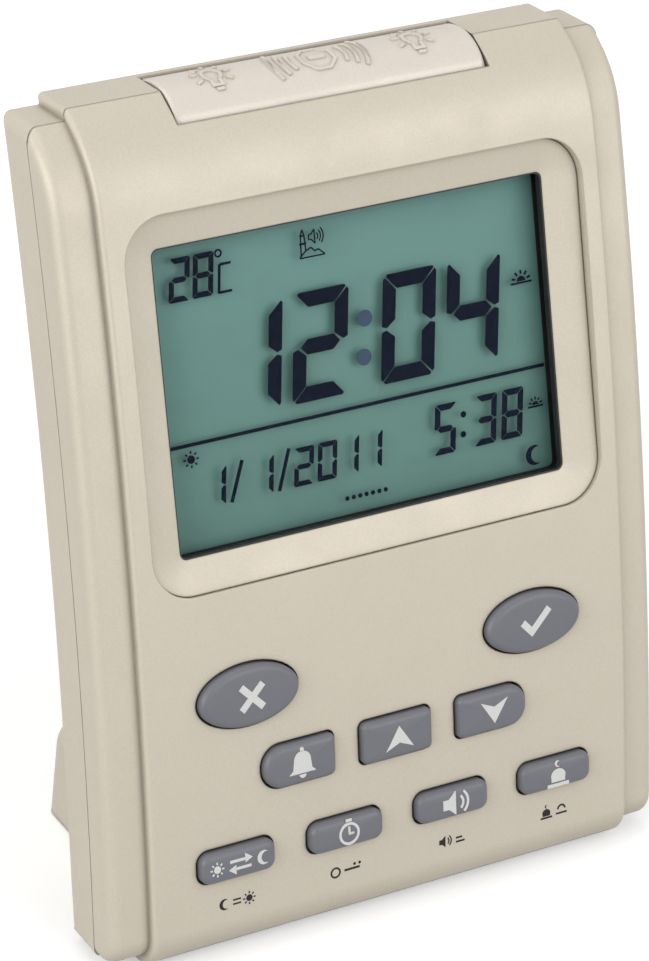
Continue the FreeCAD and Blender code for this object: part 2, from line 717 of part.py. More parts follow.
def make_front_housing():
    """Front half of the case: proud middle panel between two shoulders, hollow behind."""
    body = new_body("front_housing")
    core = Part.Shape()
    for name, width, radius, drop, edge_round in (
            ("shoulders", "case_width", SHOULDER, "panel_step", "shoulder_round"),
            ("panel", PANEL_W, PANEL, "0", "panel_edge_round")):
        sketch = sketch_on(body, name, "YZ_Plane")
        front_profile(sketch, radius, drop)
        extrude(body, "Pad", sketch, width, both_ways=True)
        crown = f"({CROWN} - {drop})"
        soften(body, "Fillet", f"crown_round - {drop}", across_at(bow_y(radius, crown), crown))
        soften(body, "Fillet", f"toe_round - {drop}", across_at(bow_y(radius, drop), drop))
        soften(body, "Fillet", edge_round, flank_at(f"{width} / 2", core))
        core = body.Tip.Shape.copy()
    for name, width, radius, drop in (
            ("shoulder_hollow", "case_width - 2 * wall_thickness", SHOULDER_IN, "panel_step"),
            ("panel_hollow", f"{PANEL_W} - 2 * wall_thickness", PANEL_IN, "0")):
        sketch = sketch_on(body, name, "YZ_Plane")
        front_hollow(sketch, radius, drop)
        extrude(body, "Pocket", sketch, width, both_ways=True)
    soften(body, "Fillet", "crown_round - wall_thickness",
           across_at(bow_y(PANEL_IN, f"({CROWN} - wall_thickness)"), f"{CROWN} - wall_thickness"))
    rim = sketch_on(body, "bezel_rim", frame=DISPLAY, h=f"-({FLANGE_DEPTH})")
    box_outline(rim, "0", "0", f"{BEZEL_W} + 2 * bezel_lip", f"{BEZEL_H} + 2 * bezel_lip", "bezel_round")
    extrude(body, "Pad", rim, f"{FLANGE_DEPTH} - wall_thickness + wall_bite")
    opening = sketch_on(body, "bezel_opening", frame=DISPLAY, h="wall_thickness")
    box_outline(opening, "0", "0", BEZEL_W, BEZEL_H, "bezel_round")
    extrude(body, "Pocket", opening, f"wall_thickness + {WINDOW_DEPTH} + wall_thickness / 2")
    for name, frame, spots, depth in (("key_posts", KEYS, BOARD_SPOTS, KEY_BOARD_DEPTH),
                                      ("main_posts", DISPLAY, MAIN_SPOTS, MAIN_BOARD_DEPTH)):
        start = "wall_thickness" if frame is KEYS else "panel_step + wall_thickness"
        posts = sketch_on(body, name, frame=frame, h=f"-{depth}")
        circles_at(posts, spots, "board_post")
        extrude(body, "Pad", posts, f"{depth} - ({start}) + wall_bite")
        mouth = f"-{depth} + board_screw_length - board_thickness"
        pilots = sketch_on(body, f"{name}_pilots", frame=frame, h=mouth)
        circles_at(pilots, spots, "board_screw_radius + bore_gap")
        extrude(body, "Pocket", pilots, "board_screw_length")
    posts = sketch_on(body, "case_posts", frame=MIDDLE, h=f"-{SEAM_SAG} + post_gap")
    circles_at(posts, SCREW_SPOTS, "post_radius")
    extrude(body, "Pad", posts, f"{POST_RISE} - post_gap + wall_bite")
    pilots = sketch_on(body, "case_pilots", frame=MIDDLE, h=f"-{SEAM_SAG} + {POST_RISE}")
    circles_at(pilots, SCREW_SPOTS, "screw_radius + bore_gap")
    extrude(body, "Pocket", pilots, f"{POST_RISE} + 1")
    openings = sketch_on(body, "key_openings", frame=KEYS, h="wall_thickness")
    for key, entry in KEY_TABLE.items():
        key_outline(openings, key, entry[1], entry[2], "key_gap")
    extrude(body, "Pocket", openings, "wall_thickness + skirt_depth + wall_bite")
    bar_opening(body, "front_bar_opening")
    return body


# ---------------------------------------------------------------- battery foot
BAY_LENGTH = "(cell_length + plus_room + spring_room)"
FOOT_W = f"({BAY_LENGTH} + 2 * foot_side)"
BAY_BACK = "(foot_reach - wall_thickness)"
BAY_FRONT = "(foot_reach - wall_thickness - 2 * cell_diameter - 3 * cell_gap)"
BAY_FLOOR = "(door_thickness + door_gap)"
BAY_TOP = f"({BAY_FLOOR} + cell_diameter + 2 * cell_gap)"
CELL_AXIS = f"({BAY_FLOOR} + cell_gap + cell_diameter / 2)"
DOOR_WIDTH = f"({BAY_LENGTH} + 2 * door_border)"
DOOR_FRONT = f"({BAY_FRONT} - door_border)"
TONGUE_LOW = "((door_thickness - tongue_thickness) / 2)"
FOOT_SLOPE = f"((foot_root - foot_height) / (foot_reach - {bow_y(BACK, 'foot_root')}))"


def foot_profile(sketch):
    """Side outline of the foot, from inside the back wall to its rear face."""
    inside = f"({bow_y(BACK, '0')} - wall_thickness)"
    outline(sketch, [
        (inside, "0"),
        ("foot_reach", "0"),
        ("foot_reach", "foot_height"),
        (bow_y(BACK, "foot_root"), "foot_root"),
        (inside, "foot_root"),
    ])


def foot_flank(edge):
    """The foot's side edges along its rear face, corner and slope."""
    spots = [vertex.Point for vertex in edge.Vertexes] + [middle_of(edge)]
    on_flank = all(abs(abs(p.x) - value(FOOT_W) / 2) < 0.01 for p in spots)
    clear_of_door = spots[-1].z > value("wall_thickness")
    return on_flank and clear_of_door and spots[-1].y > value(bow_y(BACK, "foot_root"))


WEDGE_LOW = f"({BAY_TOP} + bay_wall)"
WEDGE_EDGE = f"(foot_height - wall_thickness * sqrt(1 + {FOOT_SLOPE}^2))"
WEDGE_TIP = f"(foot_reach - ({WEDGE_LOW} - {WEDGE_EDGE}) / {FOOT_SLOPE})"


def foot_hollow(sketch):
    """Wedge over the battery bay, open to the hollow of the rear cover."""
    front = f"({bow_y(BACK, WEDGE_LOW)} - wall_thickness - wall_bite)"
    high = f"({WEDGE_EDGE} + (foot_reach - {front}) * {FOOT_SLOPE})"
    outline(sketch, [(front, WEDGE_LOW), (WEDGE_TIP, WEDGE_LOW), (front, high)])


def door_outline(sketch, grow, extra, depth):
    """Plan of the battery door's plate, or of its tongues with extra width, grown by a clearance."""
    back = f"(foot_reach + {depth})"
    front = f"({DOOR_FRONT} - {grow})"
    width = f"{DOOR_WIDTH} + 2 * ({extra} + {grow})"
    box_outline(sketch, "0", f"({front} + {back}) / 2", width, f"{back} - {front}")


def make_rear_cover():
    """Back half of the case with the battery foot, speaker grille and screw columns."""
    body = new_body("rear_cover")
    foot = sketch_on(body, "foot", "YZ_Plane")
    foot_profile(foot)
    extrude(body, "Pad", foot, FOOT_W, both_ways=True)
    soften(body, "Fillet", "foot_round", across_at("foot_reach", "foot_height"))
    soften(body, "Fillet", "shoulder_round", foot_flank)
    for name, width, drop in (("rear_shoulders", "case_width", "panel_step"), ("rear_panel", PANEL_W, "0")):
        sketch = sketch_on(body, name, "YZ_Plane")
        rear_profile(sketch, drop)
        extrude(body, "Pad", sketch, width, both_ways=True)
    soften(body, "Fillet", "back_edge_round", flank_at("case_width / 2"))
    for name, width, drop in (("rear_shoulder_hollow", "case_width - 2 * wall_thickness", "panel_step"),
                              ("rear_panel_hollow", f"{PANEL_W} - 2 * wall_thickness", "0")):
        sketch = sketch_on(body, name, "YZ_Plane")
        rear_hollow(sketch, drop)
        extrude(body, "Pocket", sketch, width, both_ways=True)
    wedge = sketch_on(body, "foot_wedge", "YZ_Plane")
    foot_hollow(wedge)
    extrude(body, "Pocket", wedge, f"{FOOT_W} - 2 * wall_thickness", both_ways=True)
    bay_block = sketch_on(body, "bay_walls", h="wall_thickness / 2")
    box_outline(bay_block, "0", f"({BAY_FRONT} - bay_wall + {WEDGE_TIP}) / 2", f"{BAY_LENGTH} + 2 * bay_wall",
                f"{WEDGE_TIP} - {BAY_FRONT} + bay_wall")
    extrude(body, "Pad", bay_block, f"{WEDGE_LOW} - wall_thickness / 2")
    bay = sketch_on(body, "battery_bay", h=BAY_TOP)
    box_outline(bay, "0", f"({BAY_FRONT} + {BAY_BACK}) / 2", BAY_LENGTH, f"{BAY_BACK} - {BAY_FRONT}")
    extrude(body, "Pocket", bay, f"{BAY_TOP} + wall_thickness")
    door_seat = sketch_on(body, "door_seat", h="door_thickness + door_gap")
    door_outline(door_seat, "door_gap", "0", "wall_thickness")
    extrude(body, "Pocket", door_seat, "2 * door_thickness")
    grooves = sketch_on(body, "door_grooves", h=f"{TONGUE_LOW} + tongue_thickness + door_gap")
    door_outline(grooves, "door_gap", "door_tongue", "wall_thickness")
    extrude(body, "Pocket", grooves, "tongue_thickness + 2 * door_gap")
    columns = sketch_on(body, "case_columns", frame=MIDDLE, h=f"-{SEAM_SAG} - post_gap")
    circles_at(columns, SCREW_SPOTS, "screw_head + column_wall")
    extrude(body, "Pad", columns, "cover_depth - post_gap - wall_bite", backwards=True)
    recesses = sketch_on(body, "head_recesses", frame=MIDDLE, h=f"-{BACK_SAG} + head_sink")
    circles_at(recesses, SCREW_SPOTS, "screw_head + 2 * bore_gap")
    extrude(body, "Pocket", recesses, "head_sink + wall_thickness")
    shanks = sketch_on(body, "shank_holes", frame=MIDDLE, h="0")
    circles_at(shanks, SCREW_SPOTS, "screw_radius + bore_gap")
    extrude(body, "Pocket", shanks, f"{BACK_SAG}")
    grille = sketch_on(body, "speaker_grille", frame=SPEAKER, h="wall_thickness")
    for number in range(int(value("slot_count"))):
        v = f"(({number} - (slot_count - 1) / 2) * slot_pitch)"
        box_outline(grille, "0", v, f"2 * sqrt(slot_circle^2 - {v}^2)", "slot_width", "slot_width * 0.49")
    extrude(body, "Pocket", grille, "3 * wall_thickness")
    shelf = upright_sketch(body, "stop_shelf", "-shelf_drop - shelf_thickness")
    box_outline(shelf, "0", f"{SHELF_BACK} + wall_bite - shelf_reach / 2", "shelf_width", "shelf_reach")
    extrude(body, "Pad", shelf, "shelf_thickness")
    pilots = upright_sketch(body, "shelf_pilots", "-shelf_drop + board_thickness")
    circles_at(pilots, STOP_SPOTS, "board_screw_radius + bore_gap")
    extrude(body, "Pocket", pilots, "shelf_thickness + 2 * board_thickness")
    bar_opening(body, "rear_bar_opening")
    return body


# ---------------------------------------------------------------- battery pieces
def lying_along_x(body, x, y, z):
    """Turn a piece made about its own Z axis so that the axis lies along +X."""
    body.Placement = Placement(Vector(), Rotation(Vector(0, 1, 0), 90))
    bind(body, "Placement.Base.x", x)
    bind(body, "Placement.Base.y", y)
    bind(body, "Placement.Base.z", z)


def make_cell(label, y, facing):
    """AA cell: body and nub turned about its axis."""
    body = new_body(label)
    profile = sketch_on(body, f"{label}_half", "XZ_Plane")
    radius, length = "cell_diameter / 2", "cell_length"
    low, high = f"-{length} / 2", f"{length} / 2"
    outline(profile, [
        ("0", low),
        (f"{radius} - cell_gap", low),
        (radius, f"{low} + cell_gap"),
        (radius, f"{high} - cell_nub - cell_gap"),
        (f"{radius} - cell_gap", f"{high} - cell_nub"),
        ("nub_radius", f"{high} - cell_nub"),
        ("nub_radius", high),
        ("0", high),
    ])
    revolve(body, profile)
    lying_along_x(body, f"{facing} * (spring_room - plus_room) / 2", y, CELL_AXIS)
    if facing == LEFT:
        body.Placement = Placement(body.Placement.Base, Rotation(Vector(0, 1, 0), -90))
    return body


REAR_CELL_Y = f"({BAY_BACK} - cell_gap - cell_diameter / 2)"
FRONT_CELL_Y = f"({BAY_FRONT} + cell_gap + cell_diameter / 2)"


def make_contact(label, side, y, width, dimples, springs):
    """Bent contact at an end wall of the bay: plate, dimples for nubs and leaf springs for cans."""
    body = new_body(label)
    wall = f"{side} * {BAY_LENGTH} / 2"
    sign = int(side)
    plate_sketch = sketch_on(body, f"{label}_plate", "YZ_Plane", h=wall)
    box_outline(plate_sketch, y, CELL_AXIS, width, "cell_diameter - 2 * cell_gap", "view_round")
    extrude(body, "Pad", plate_sketch, "contact_thickness", backwards=sign > 0)
    face = f"{side} * ({BAY_LENGTH} / 2 - contact_thickness)"
    for number, spot in enumerate(dimples):
        dimple = sketch_on(body, f"{label}_dimple{number}", "YZ_Plane", h=face)
        circle_outline(dimple, spot, CELL_AXIS, "nub_radius - cell_gap")
        extrude(body, "Pad", dimple, "plus_room - contact_thickness", backwards=sign > 0)
    for number, spot in enumerate(springs):
        leaf(body, f"{label}_spring{number}", side, face, spot)
    return body


def leaf(body, name, side, face, y):
    """Leaf spring bent out from the plate, its nose against the can."""
    nose, thick, half = "(spring_room - contact_thickness)", "contact_thickness", "(leaf_length / 2)"
    path = [
        ("0", f"-{half}"),
        (nose, "-leaf_nose"),
        (nose, "leaf_nose"),
        (f"(2 * {thick})", half),
        (thick, f"({half} - {thick})"),
        (f"({nose} - {thick})", f"(leaf_nose - {thick} / 2)"),
        (f"({nose} - {thick})", f"(-leaf_nose + {thick} / 2)"),
        ("0", f"(-{half} + 2 * {thick})"),
    ]
    strip = sketch_on(body, name, h=f"{CELL_AXIS} - leaf_width / 2")
    outline(strip, [(f"({face}) - {side} * {reach}", f"{y} + {across}") for reach, across in path])
    extrude(body, "Pad", strip, "leaf_width")


def make_door():
    """Sliding battery door: plate in the foot's underside with a tongue along each side."""
    body = new_body("battery_door")
    plate_sketch = sketch_on(body, "door_plate", h="door_lift")
    door_outline(plate_sketch, "0", "0", "0")
    extrude(body, "Pad", plate_sketch, "door_thickness - door_lift")
    tongues = sketch_on(body, "door_tongues", h=TONGUE_LOW)
    door_outline(tongues, "0", "door_tongue", "-foot_round / 2")
    extrude(body, "Pad", tongues, "tongue_thickness")
    grip = sketch_on(body, "door_grip", h="door_lift")
    for number in range(int(value("rib_count"))):
        y = f"(foot_reach - foot_round / 2 - {number} * rib_pitch)"
        box_outline(grip, "0", y, "rib_length", "rib_width")
    extrude(body, "Pocket", grip, "rib_depth", backwards=True)
    return body


# ---------------------------------------------------------------- stop bar
TAB_DROP = "(wall_thickness + tab_drop)"


def make_stop_bar():
    """Crowned bar across the top, with a tab under the case at each end and a boss for the plunger."""
    body = new_body("stop_bar")
    side = sketch_on(body, "bar_side", "YZ_Plane")
    bar_profile(side, "0", "0", "0", True)
    extrude(body, "Pad", side, "bar_width", both_ways=True)
    soften(body, "Chamfer", "bar_bevel", bar_crown_end)
    tabs = sketch_on(body, "bar_tabs", frame=TOP, h="-tab_depth")
    box_outline(tabs, "0", f"-{TAB_DROP} - tab_thickness / 2", "bar_width + 2 * tab_reach", "tab_thickness")
    extrude(body, "Pad", tabs, "tab_depth")
    boss = upright_sketch(body, "bar_boss", "-boss_drop")
    circle_outline(boss, "0", "0", "boss_radius")
    extrude(body, "Pad", boss, f"boss_drop - {TAB_DROP}")
    return body


def bar_crown_end(edge):
    """The crown's edge at either end of the bar."""
    spot = middle_of(edge)
    return abs(abs(spot.x) - value("bar_width / 2")) < 0.01 and spot.z > value(BAR_BACK[1])


def upright_sketch(body, name, rise):
    """Sketch square to the top frame's V, with X across and Y to the back."""
    sketch = sketch_on(body, name)
    sketch.AttachmentOffset = Placement(Vector(), Rotation(Vector(-1, 0, 0), 1))
    y, z = TOP.base(rise, "0")
    bind(sketch, "AttachmentOffset.Base.y", y)
    bind(sketch, "AttachmentOffset.Base.z", z)
    bind(sketch, "AttachmentOffset.Rotation.Angle", "bar_lean")
    return sketch


BOARD_DROP = "(shelf_drop - board_thickness)"
SWITCH_DROP = f"({BOARD_DROP} - switch_height)"
STOP_SPOTS = [(f"{side} * (shelf_width / 2 - 2 * board_post)", "0") for side in (LEFT, RIGHT)]
SHELF_BACK = "(cover_depth - wall_thickness)"


def make_stop_board():
    body = new_body("stop_board")
    sketch = upright_sketch(body, "stop_board_plan", "-shelf_drop")
    depth = "(shelf_reach - 2 * display_fit)"
    box_outline(sketch, "0", f"{SHELF_BACK} - 2 * display_fit - {depth} / 2", "shelf_width - 2", depth)
    circles_at(sketch, STOP_SPOTS, "board_screw_radius + bore_gap")
    extrude(body, "Pad", sketch, "board_thickness")
    return body


def make_switch():
    body = new_body("stop_switch")
    block = upright_sketch(body, "switch_block", f"-{BOARD_DROP}")
    box_outline(block, "0", "0", "switch_size", "switch_size", "board_screw_radius")
    extrude(body, "Pad", block, "switch_height")
    bore = upright_sketch(body, "switch_bore_cut", f"-{SWITCH_DROP}")
    circle_outline(bore, "0", "0", "plunger_radius + bore_gap")
    extrude(body, "Pocket", bore, "switch_bore")
    return body


def make_plunger():
    body = new_body("switch_plunger")
    rise = f"(-{SWITCH_DROP} - switch_bore + bar_travel + stem_stop)"
    rod = upright_sketch(body, "plunger_rod", rise)
    circle_outline(rod, "0", "0", "plunger_radius")
    extrude(body, "Pad", rod, f"-boss_drop - {rise}")
    return body


# ---------------------------------------------------------------- speaker
def turned_in(label, frame, points, h="0"):
    """Piece turned about the frame's normal, from its half outline (radius, height)."""
    body = new_body(label)
    profile = sketch_on(body, f"{label}_half", "XZ_Plane")
    outline(profile, points)
    revolve(body, profile)
    stand(body, frame, h=h)
    return body


MAGNET_LOW = "(speaker_depth * 0.55)"


def make_speaker():
    basket = [
        ("speaker_radius - speaker_rim", "0"),
        ("speaker_radius", "0"),
        ("speaker_radius", "speaker_rim"),
        ("magnet_radius + 1", f"{MAGNET_LOW}"),
        ("magnet_radius - 2", f"{MAGNET_LOW}"),
        ("magnet_radius - 2", f"{MAGNET_LOW} - cone_thickness"),
        ("speaker_radius - speaker_rim", "speaker_rim / 2"),
    ]
    cone = [
        ("speaker_radius - speaker_rim", "cone_thickness"),
        ("0", "speaker_rim * 0.75"),
        ("0", "speaker_rim * 0.75 - cone_thickness"),
        ("speaker_radius - speaker_rim", "0"),
    ]
    magnet = [
        ("0", MAGNET_LOW),
        ("magnet_radius", MAGNET_LOW),
        ("magnet_radius", "speaker_depth"),
        ("0", "speaker_depth"),
    ]
    turned_in("speaker_frame", SPEAKER, basket)
    turned_in("speaker_cone", SPEAKER, cone)
    turned_in("speaker_magnet", SPEAKER, magnet)


# ---------------------------------------------------------------- electronics and fasteners
CHIP_DEPTH = f"({MAIN_BOARD_DEPTH} + board_thickness)"


def make_chip():
    """Blob of epoxy over the bare controller die."""
    points = [
        ("0", "0"),
        ("chip_radius", "0"),
        ("chip_radius * 0.9", "chip_height * 0.6"),
        ("0", "chip_height"),
    ]
    body = turned_in("controller_chip", DISPLAY, points)
    body.Placement = Placement(Vector(), Rotation(Vector(1, 0, 0), -90))
    y, z = DISPLAY.base("0", f"-{CHIP_DEPTH}")
    bind(body, "Placement.Base.y", y)
    bind(body, "Placement.Base.z", z)
    bind(body, "Placement.Rotation.Angle", f"-90 - {DISPLAY.lean}")
    return body


def draw_sensor(sketch):
    edge = f"-{MAIN_BOARD_W} / 2 + board_post"
    box_outline(sketch, edge, "0", "sensor_size", "sensor_size", "sensor_size / 4")


def draw_leds(sketch):
    edge = f"-({GLASS_W} - window_border) / 2"
    for number in (-1, 0, 1):
        box_outline(sketch, edge, f"{number} * led_pitch", "led_size", "led_size * 1.5")


def make_board_link():
    """Flat cable from the back of the key board up to the back of the main board."""
    key_back, main_back = f"-{KEY_BOARD_DEPTH} - board_thickness", f"-{CHIP_DEPTH}"
    stations = [
        (KEYS, "key_board_top - 2 * link_tab", key_back),
        (KEYS, "key_board_top - link_tab / 2", key_back),
        (DISPLAY, "main_board_bottom - link_tab / 2", f"{main_back} - 3 * link_thickness"),
        (DISPLAY, "main_board_bottom + link_tab / 2", main_back),
        (DISPLAY, "main_board_bottom + 3 * link_tab / 2", main_back),
    ]
    near = [frame.base(v, h) for frame, v, h in stations]
    far = [frame.base(v, f"{h} - link_thickness") for frame, v, h in reversed(stations)]
    body = new_body("board_link")
    sketch = sketch_on(body, "board_link_strip", "YZ_Plane")
    outline(sketch, near + far)
    extrude(body, "Pad", sketch, "link_width", both_ways=True)
    bind(body, "Placement.Base.x", "link_offset")


def make_screws(label, frame, spots, seat, radius, length, head_radius, head_height):
    """Group of like screws in a leaning frame, shank ahead of the seat and head behind it."""
    body = new_body(label)
    body.AllowCompound = True
    heads = sketch_on(body, f"{label}_heads", h=f"{seat} - ({head_height})")
    circles_at(heads, spots, head_radius)
    extrude(body, "Pad", heads, head_height)
    shanks = sketch_on(body, f"{label}_shanks", h=seat)
    circles_at(shanks, spots, radius)
    extrude(body, "Pad", shanks, length)
    stand(body, frame)
    return body


def make_stop_screws():
    """Two screws down through the stop board into its shelf."""
    body = new_body("stop_board_screws")
    body.AllowCompound = True
    heads = upright_sketch(body, "stop_screw_heads", f"-{BOARD_DROP}")
    circles_at(heads, STOP_SPOTS, "board_head")
    extrude(body, "Pad", heads, "head_height / 2")
    shanks = upright_sketch(body, "stop_screw_shanks", f"-{BOARD_DROP}")
    circles_at(shanks, STOP_SPOTS, "board_screw_radius")
    extrude(body, "Pad", shanks, "board_thickness + shelf_thickness", backwards=True)
    return body


def make_board_screws(label, frame, spots, depth):
    return make_screws(label, frame, spots, f"(-{depth} - board_thickness)", "board_screw_radius",
                       "board_screw_length - stem_stop", "board_head", "head_height / 2")


# ---------------------------------------------------------------- build
make_front_housing()
make_rear_cover()
make_bezel()
plate("display_window", DISPLAY, WINDOW_DEPTH, "window_thickness", draw_window)
plate("lcd_glass", DISPLAY, GLASS_DEPTH, "glass_thickness", draw_window)
plate("lcd_light_guide", DISPLAY, GUIDE_DEPTH, "guide_thickness", draw_guide)
plate("lcd_holder", DISPLAY, WINDOW_DEPTH, f"{MAIN_BOARD_DEPTH} - {WINDOW_DEPTH}", draw_holder)
plate("lcd_connector", DISPLAY, GUIDE_DEPTH, "guide_thickness", draw_strip)
plate("main_board", DISPLAY, MAIN_BOARD_DEPTH, "board_thickness", draw_main_board)
plate("backlight_leds", DISPLAY, f"({MAIN_BOARD_DEPTH} - led_height)", "led_height", draw_leds)
plate("temperature_sensor", DISPLAY, CHIP_DEPTH, "sensor_height", draw_sensor)
make_chip()
for key_name in KEY_TABLE:
    make_key(key_name)
plate("keypad_mat", KEYS, MAT_DEPTH, "mat_thickness", draw_mat)
plate("key_board", KEYS, KEY_BOARD_DEPTH, "board_thickness", draw_key_board)
make_board_link()
make_stop_bar()
make_stop_board()
make_switch()
make_plunger()
make_speaker()
make_cell("rear_cell", REAR_CELL_Y, RIGHT)
make_cell("front_cell", FRONT_CELL_Y, LEFT)
plate_width = "cell_diameter - 2 * cell_gap"
make_contact("positive_contact", RIGHT, REAR_CELL_Y, plate_width, [REAR_CELL_Y], [])
make_contact("negative_contact", RIGHT, FRONT_CELL_Y, plate_width, [], [FRONT_CELL_Y])
make_contact("bridge_contact", LEFT, f"({REAR_CELL_Y} + {FRONT_CELL_Y}) / 2", "2 * cell_diameter - cell_gap",
             [FRONT_CELL_Y], [REAR_CELL_Y])
make_door()
make_screws("case_screws", MIDDLE, SCREW_SPOTS, f"(-{BACK_SAG} + head_sink)", "screw_radius",
            f"{BACK_SAG} - head_sink - {SEAM_SAG} + {POST_RISE} - stem_stop", "screw_head", "head_height")
make_board_screws("key_board_screws", KEYS, BOARD_SPOTS, KEY_BOARD_DEPTH)
make_board_screws("main_board_screws", DISPLAY, MAIN_SPOTS, MAIN_BOARD_DEPTH)
make_stop_screws()

# ---------------------------------------------------------------- checks and export
doc.recompute()
for thing in doc.Objects:
    if any(word in thing.State for word in ("Invalid", "Error")):
        raise RuntimeError(f"{thing.Name} failed: {thing.State}")
os.makedirs("parts", exist_ok=True)
for piece in doc.Objects:
    if piece.TypeId != "PartDesign::Body":
        continue
    if piece.Shape.isNull() or not piece.Shape.isValid():
        raise RuntimeError(f"{piece.Label} has no valid shape")
    piece.Shape.exportStep(f"parts/{piece.Label}.step")
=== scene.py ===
"""Looks of a prayer-time desk clock: skins, keys, display, signs, finishes and studio.

Lengths in the tables are millimetres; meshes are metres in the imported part's own frame:
+X to the reader's right, +Y to the back, +Z up.
"""
import json
import math

import bmesh
import bpy
import numpy as np
from bpy.props import FloatProperty, FloatVectorProperty, IntProperty, PointerProperty
from mathutils import Matrix, Vector


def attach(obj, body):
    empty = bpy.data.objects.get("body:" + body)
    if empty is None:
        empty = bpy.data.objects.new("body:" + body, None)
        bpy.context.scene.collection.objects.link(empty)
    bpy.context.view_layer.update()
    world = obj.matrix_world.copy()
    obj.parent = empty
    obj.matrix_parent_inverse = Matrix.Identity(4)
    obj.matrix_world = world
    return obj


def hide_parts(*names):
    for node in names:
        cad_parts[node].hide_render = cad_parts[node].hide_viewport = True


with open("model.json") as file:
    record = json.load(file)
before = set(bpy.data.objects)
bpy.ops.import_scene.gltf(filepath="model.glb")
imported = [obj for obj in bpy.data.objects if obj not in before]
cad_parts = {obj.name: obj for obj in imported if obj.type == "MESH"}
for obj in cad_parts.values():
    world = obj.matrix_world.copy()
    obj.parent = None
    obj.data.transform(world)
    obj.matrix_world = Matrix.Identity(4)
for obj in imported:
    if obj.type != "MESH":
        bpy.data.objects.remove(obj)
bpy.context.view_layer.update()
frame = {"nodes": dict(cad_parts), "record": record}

bl_info = {
    "name": "Prayer clock looks",
    "version": (1, 0, 0),
    "blender": (4, 5, 0),
    "location": "View3D > Sidebar > Clock",
    "description": "Builds the visible pieces, finishes and studio of a bowed desk clock",
    "category": "Object",
}

MM = 0.001
NODES = frame["nodes"]
SLOT_OF = {row["node"]: row["material_slot"] for row in frame["record"]["subparts"]}
BODY_OF = {node: body for body, nodes in frame["record"]["behaviour"]["bodies"].items() for node in nodes}
KEYS = ("exit_key", "set_key", "alarm_key", "up_key", "down_key",
        "calendar_key", "iqamah_key", "sound_key", "azan_key")
SKINNED = ("front_housing", "rear_cover", "display_bezel", "battery_door", "stop_bar")

# The case's bow: its axis as (back, up) and the radii of its surfaces.
BOW_AXIS = (684.19, -147.93)
PANEL_RADIUS, SHOULDER_RADIUS, SEAM_RADIUS, BACK_RADIUS = 707.2, 705.6, 700.0, 692.6
# Its edges: side and round of the back edges; side, height and round of the top ones; their cutter's reach.
BACK_EDGE = (50.0, 1.2)
TOP_EDGES = ((43.5, 129.72, 0.8), (50.0, 128.05, 2.0))
TOP_CUT = (15.0, 40.0)

# The stop bar's crown.  The keys: how much their skirt stands out, how proud their cap is, the stem, the
# skirt's levels from the face, left and right corners, and the scales of the crown's loops.
BAR_AXIS, BAR_RADIUS = (41.4, 117.57), 8.6
KEY_SKIRT, KEY_PROUD, STEM_RADIUS = 1.1, 1.5, 2.0
SKIRT_TOP, SKIRT_FOOT = -2.6, -3.4
KEY_CORNERS = {"alarm_key": (3.2, 1.0), "up_key": (1.0, 1.0), "down_key": (1.0, 3.2)}
LOWER_KEY_CORNERS = (1.7, 1.7)
CROWN_SHARES = (0.92, 0.8, 0.6, 0.4, 0.2, 0.03)

# Printed signs: how deep they root in what carries them, and the panel marks' drop below their key and
# scale.  The bar's symbols: their root, places across, way along the crown and size.
PRINT_ROOT, MARK_DROP, MARK_SCALE = 0.2, 2.4, 1.15
BAR_ROOT, BAR_PLACES, BAR_SIGN = 0.3, (-18.0, 0.0, 17.2), (-0.6, 6.6)

# The display: window and glass fronts, corner radius, border under the bezel, crystal depth and the gap
# behind its front sheet; levels of the ink below the glass front, of the mask over it and of the black ring
# of painted shade that lines the throat over the window; and how much wider than the border's opening
# their edges are, with their corners.
WINDOW_FRONT, GLASS_FRONT = 4.2, 5.4
GLASS_CORNER, GLASS_BORDER, CRYSTAL_DEPTH, SHEET_GAP = 1.2, 4.4, 1.3, 0.05
INK_BACK, INK_FRONT = 0.12, 0.04
MASK, SHADE_RING, LIP, THROAT = (0.01, 0.06), (0.02, 1.25), (0.02, 1.2), (-0.5, 1.0)

# The case screws' heads and shanks.
HEAD_RADIUS, HEAD_HEIGHT, SHANK_RADIUS = 2.3, 1.6, 1.25

# Tolerances: corners that merge, that lie on a surface, on a bow or on an edge round, or past its ends;
# the least distance between rows along the bow; the least angle in radians between corners across a
# round; and how square a face is to the bow's radius, and a flank to the side.
MERGED, ON_SURFACE, ON_BOW, ON_ROUND, PAST_ROUND = 0.002, 0.02, 0.012, 0.01, 0.002
ROW_GAP, TURN_GAP, FACING, SQUARE = 2.5, 0.02, 0.99, 0.999

# The studio: lamps as place, size and the setting with their power; the point they face; camera axes.
LAMPS = {"key_light": ((0.55, -0.90, 0.55), 0.95, "key_power"),
         "flank_light": ((-1.0, -0.25, 0.5), 0.8, "fill_power"),
         "top_light": ((-0.1, 0.35, 1.2), 0.8, "top_power")}
LAMP_AIM = (0.0, 0.02, 0.06)
CAMERA_RIGHT, CAMERA_UP, CAMERA_BACK = ((0.84930, -0.51891, 0.09706), (0.20099, 0.48786, 0.84947),
                                        (-0.48815, -0.70194, 0.51863))
FLOOR_RINGS, FLOOR_DROP = (3.0, 1.0, 0.3, 0.01), 0.0002


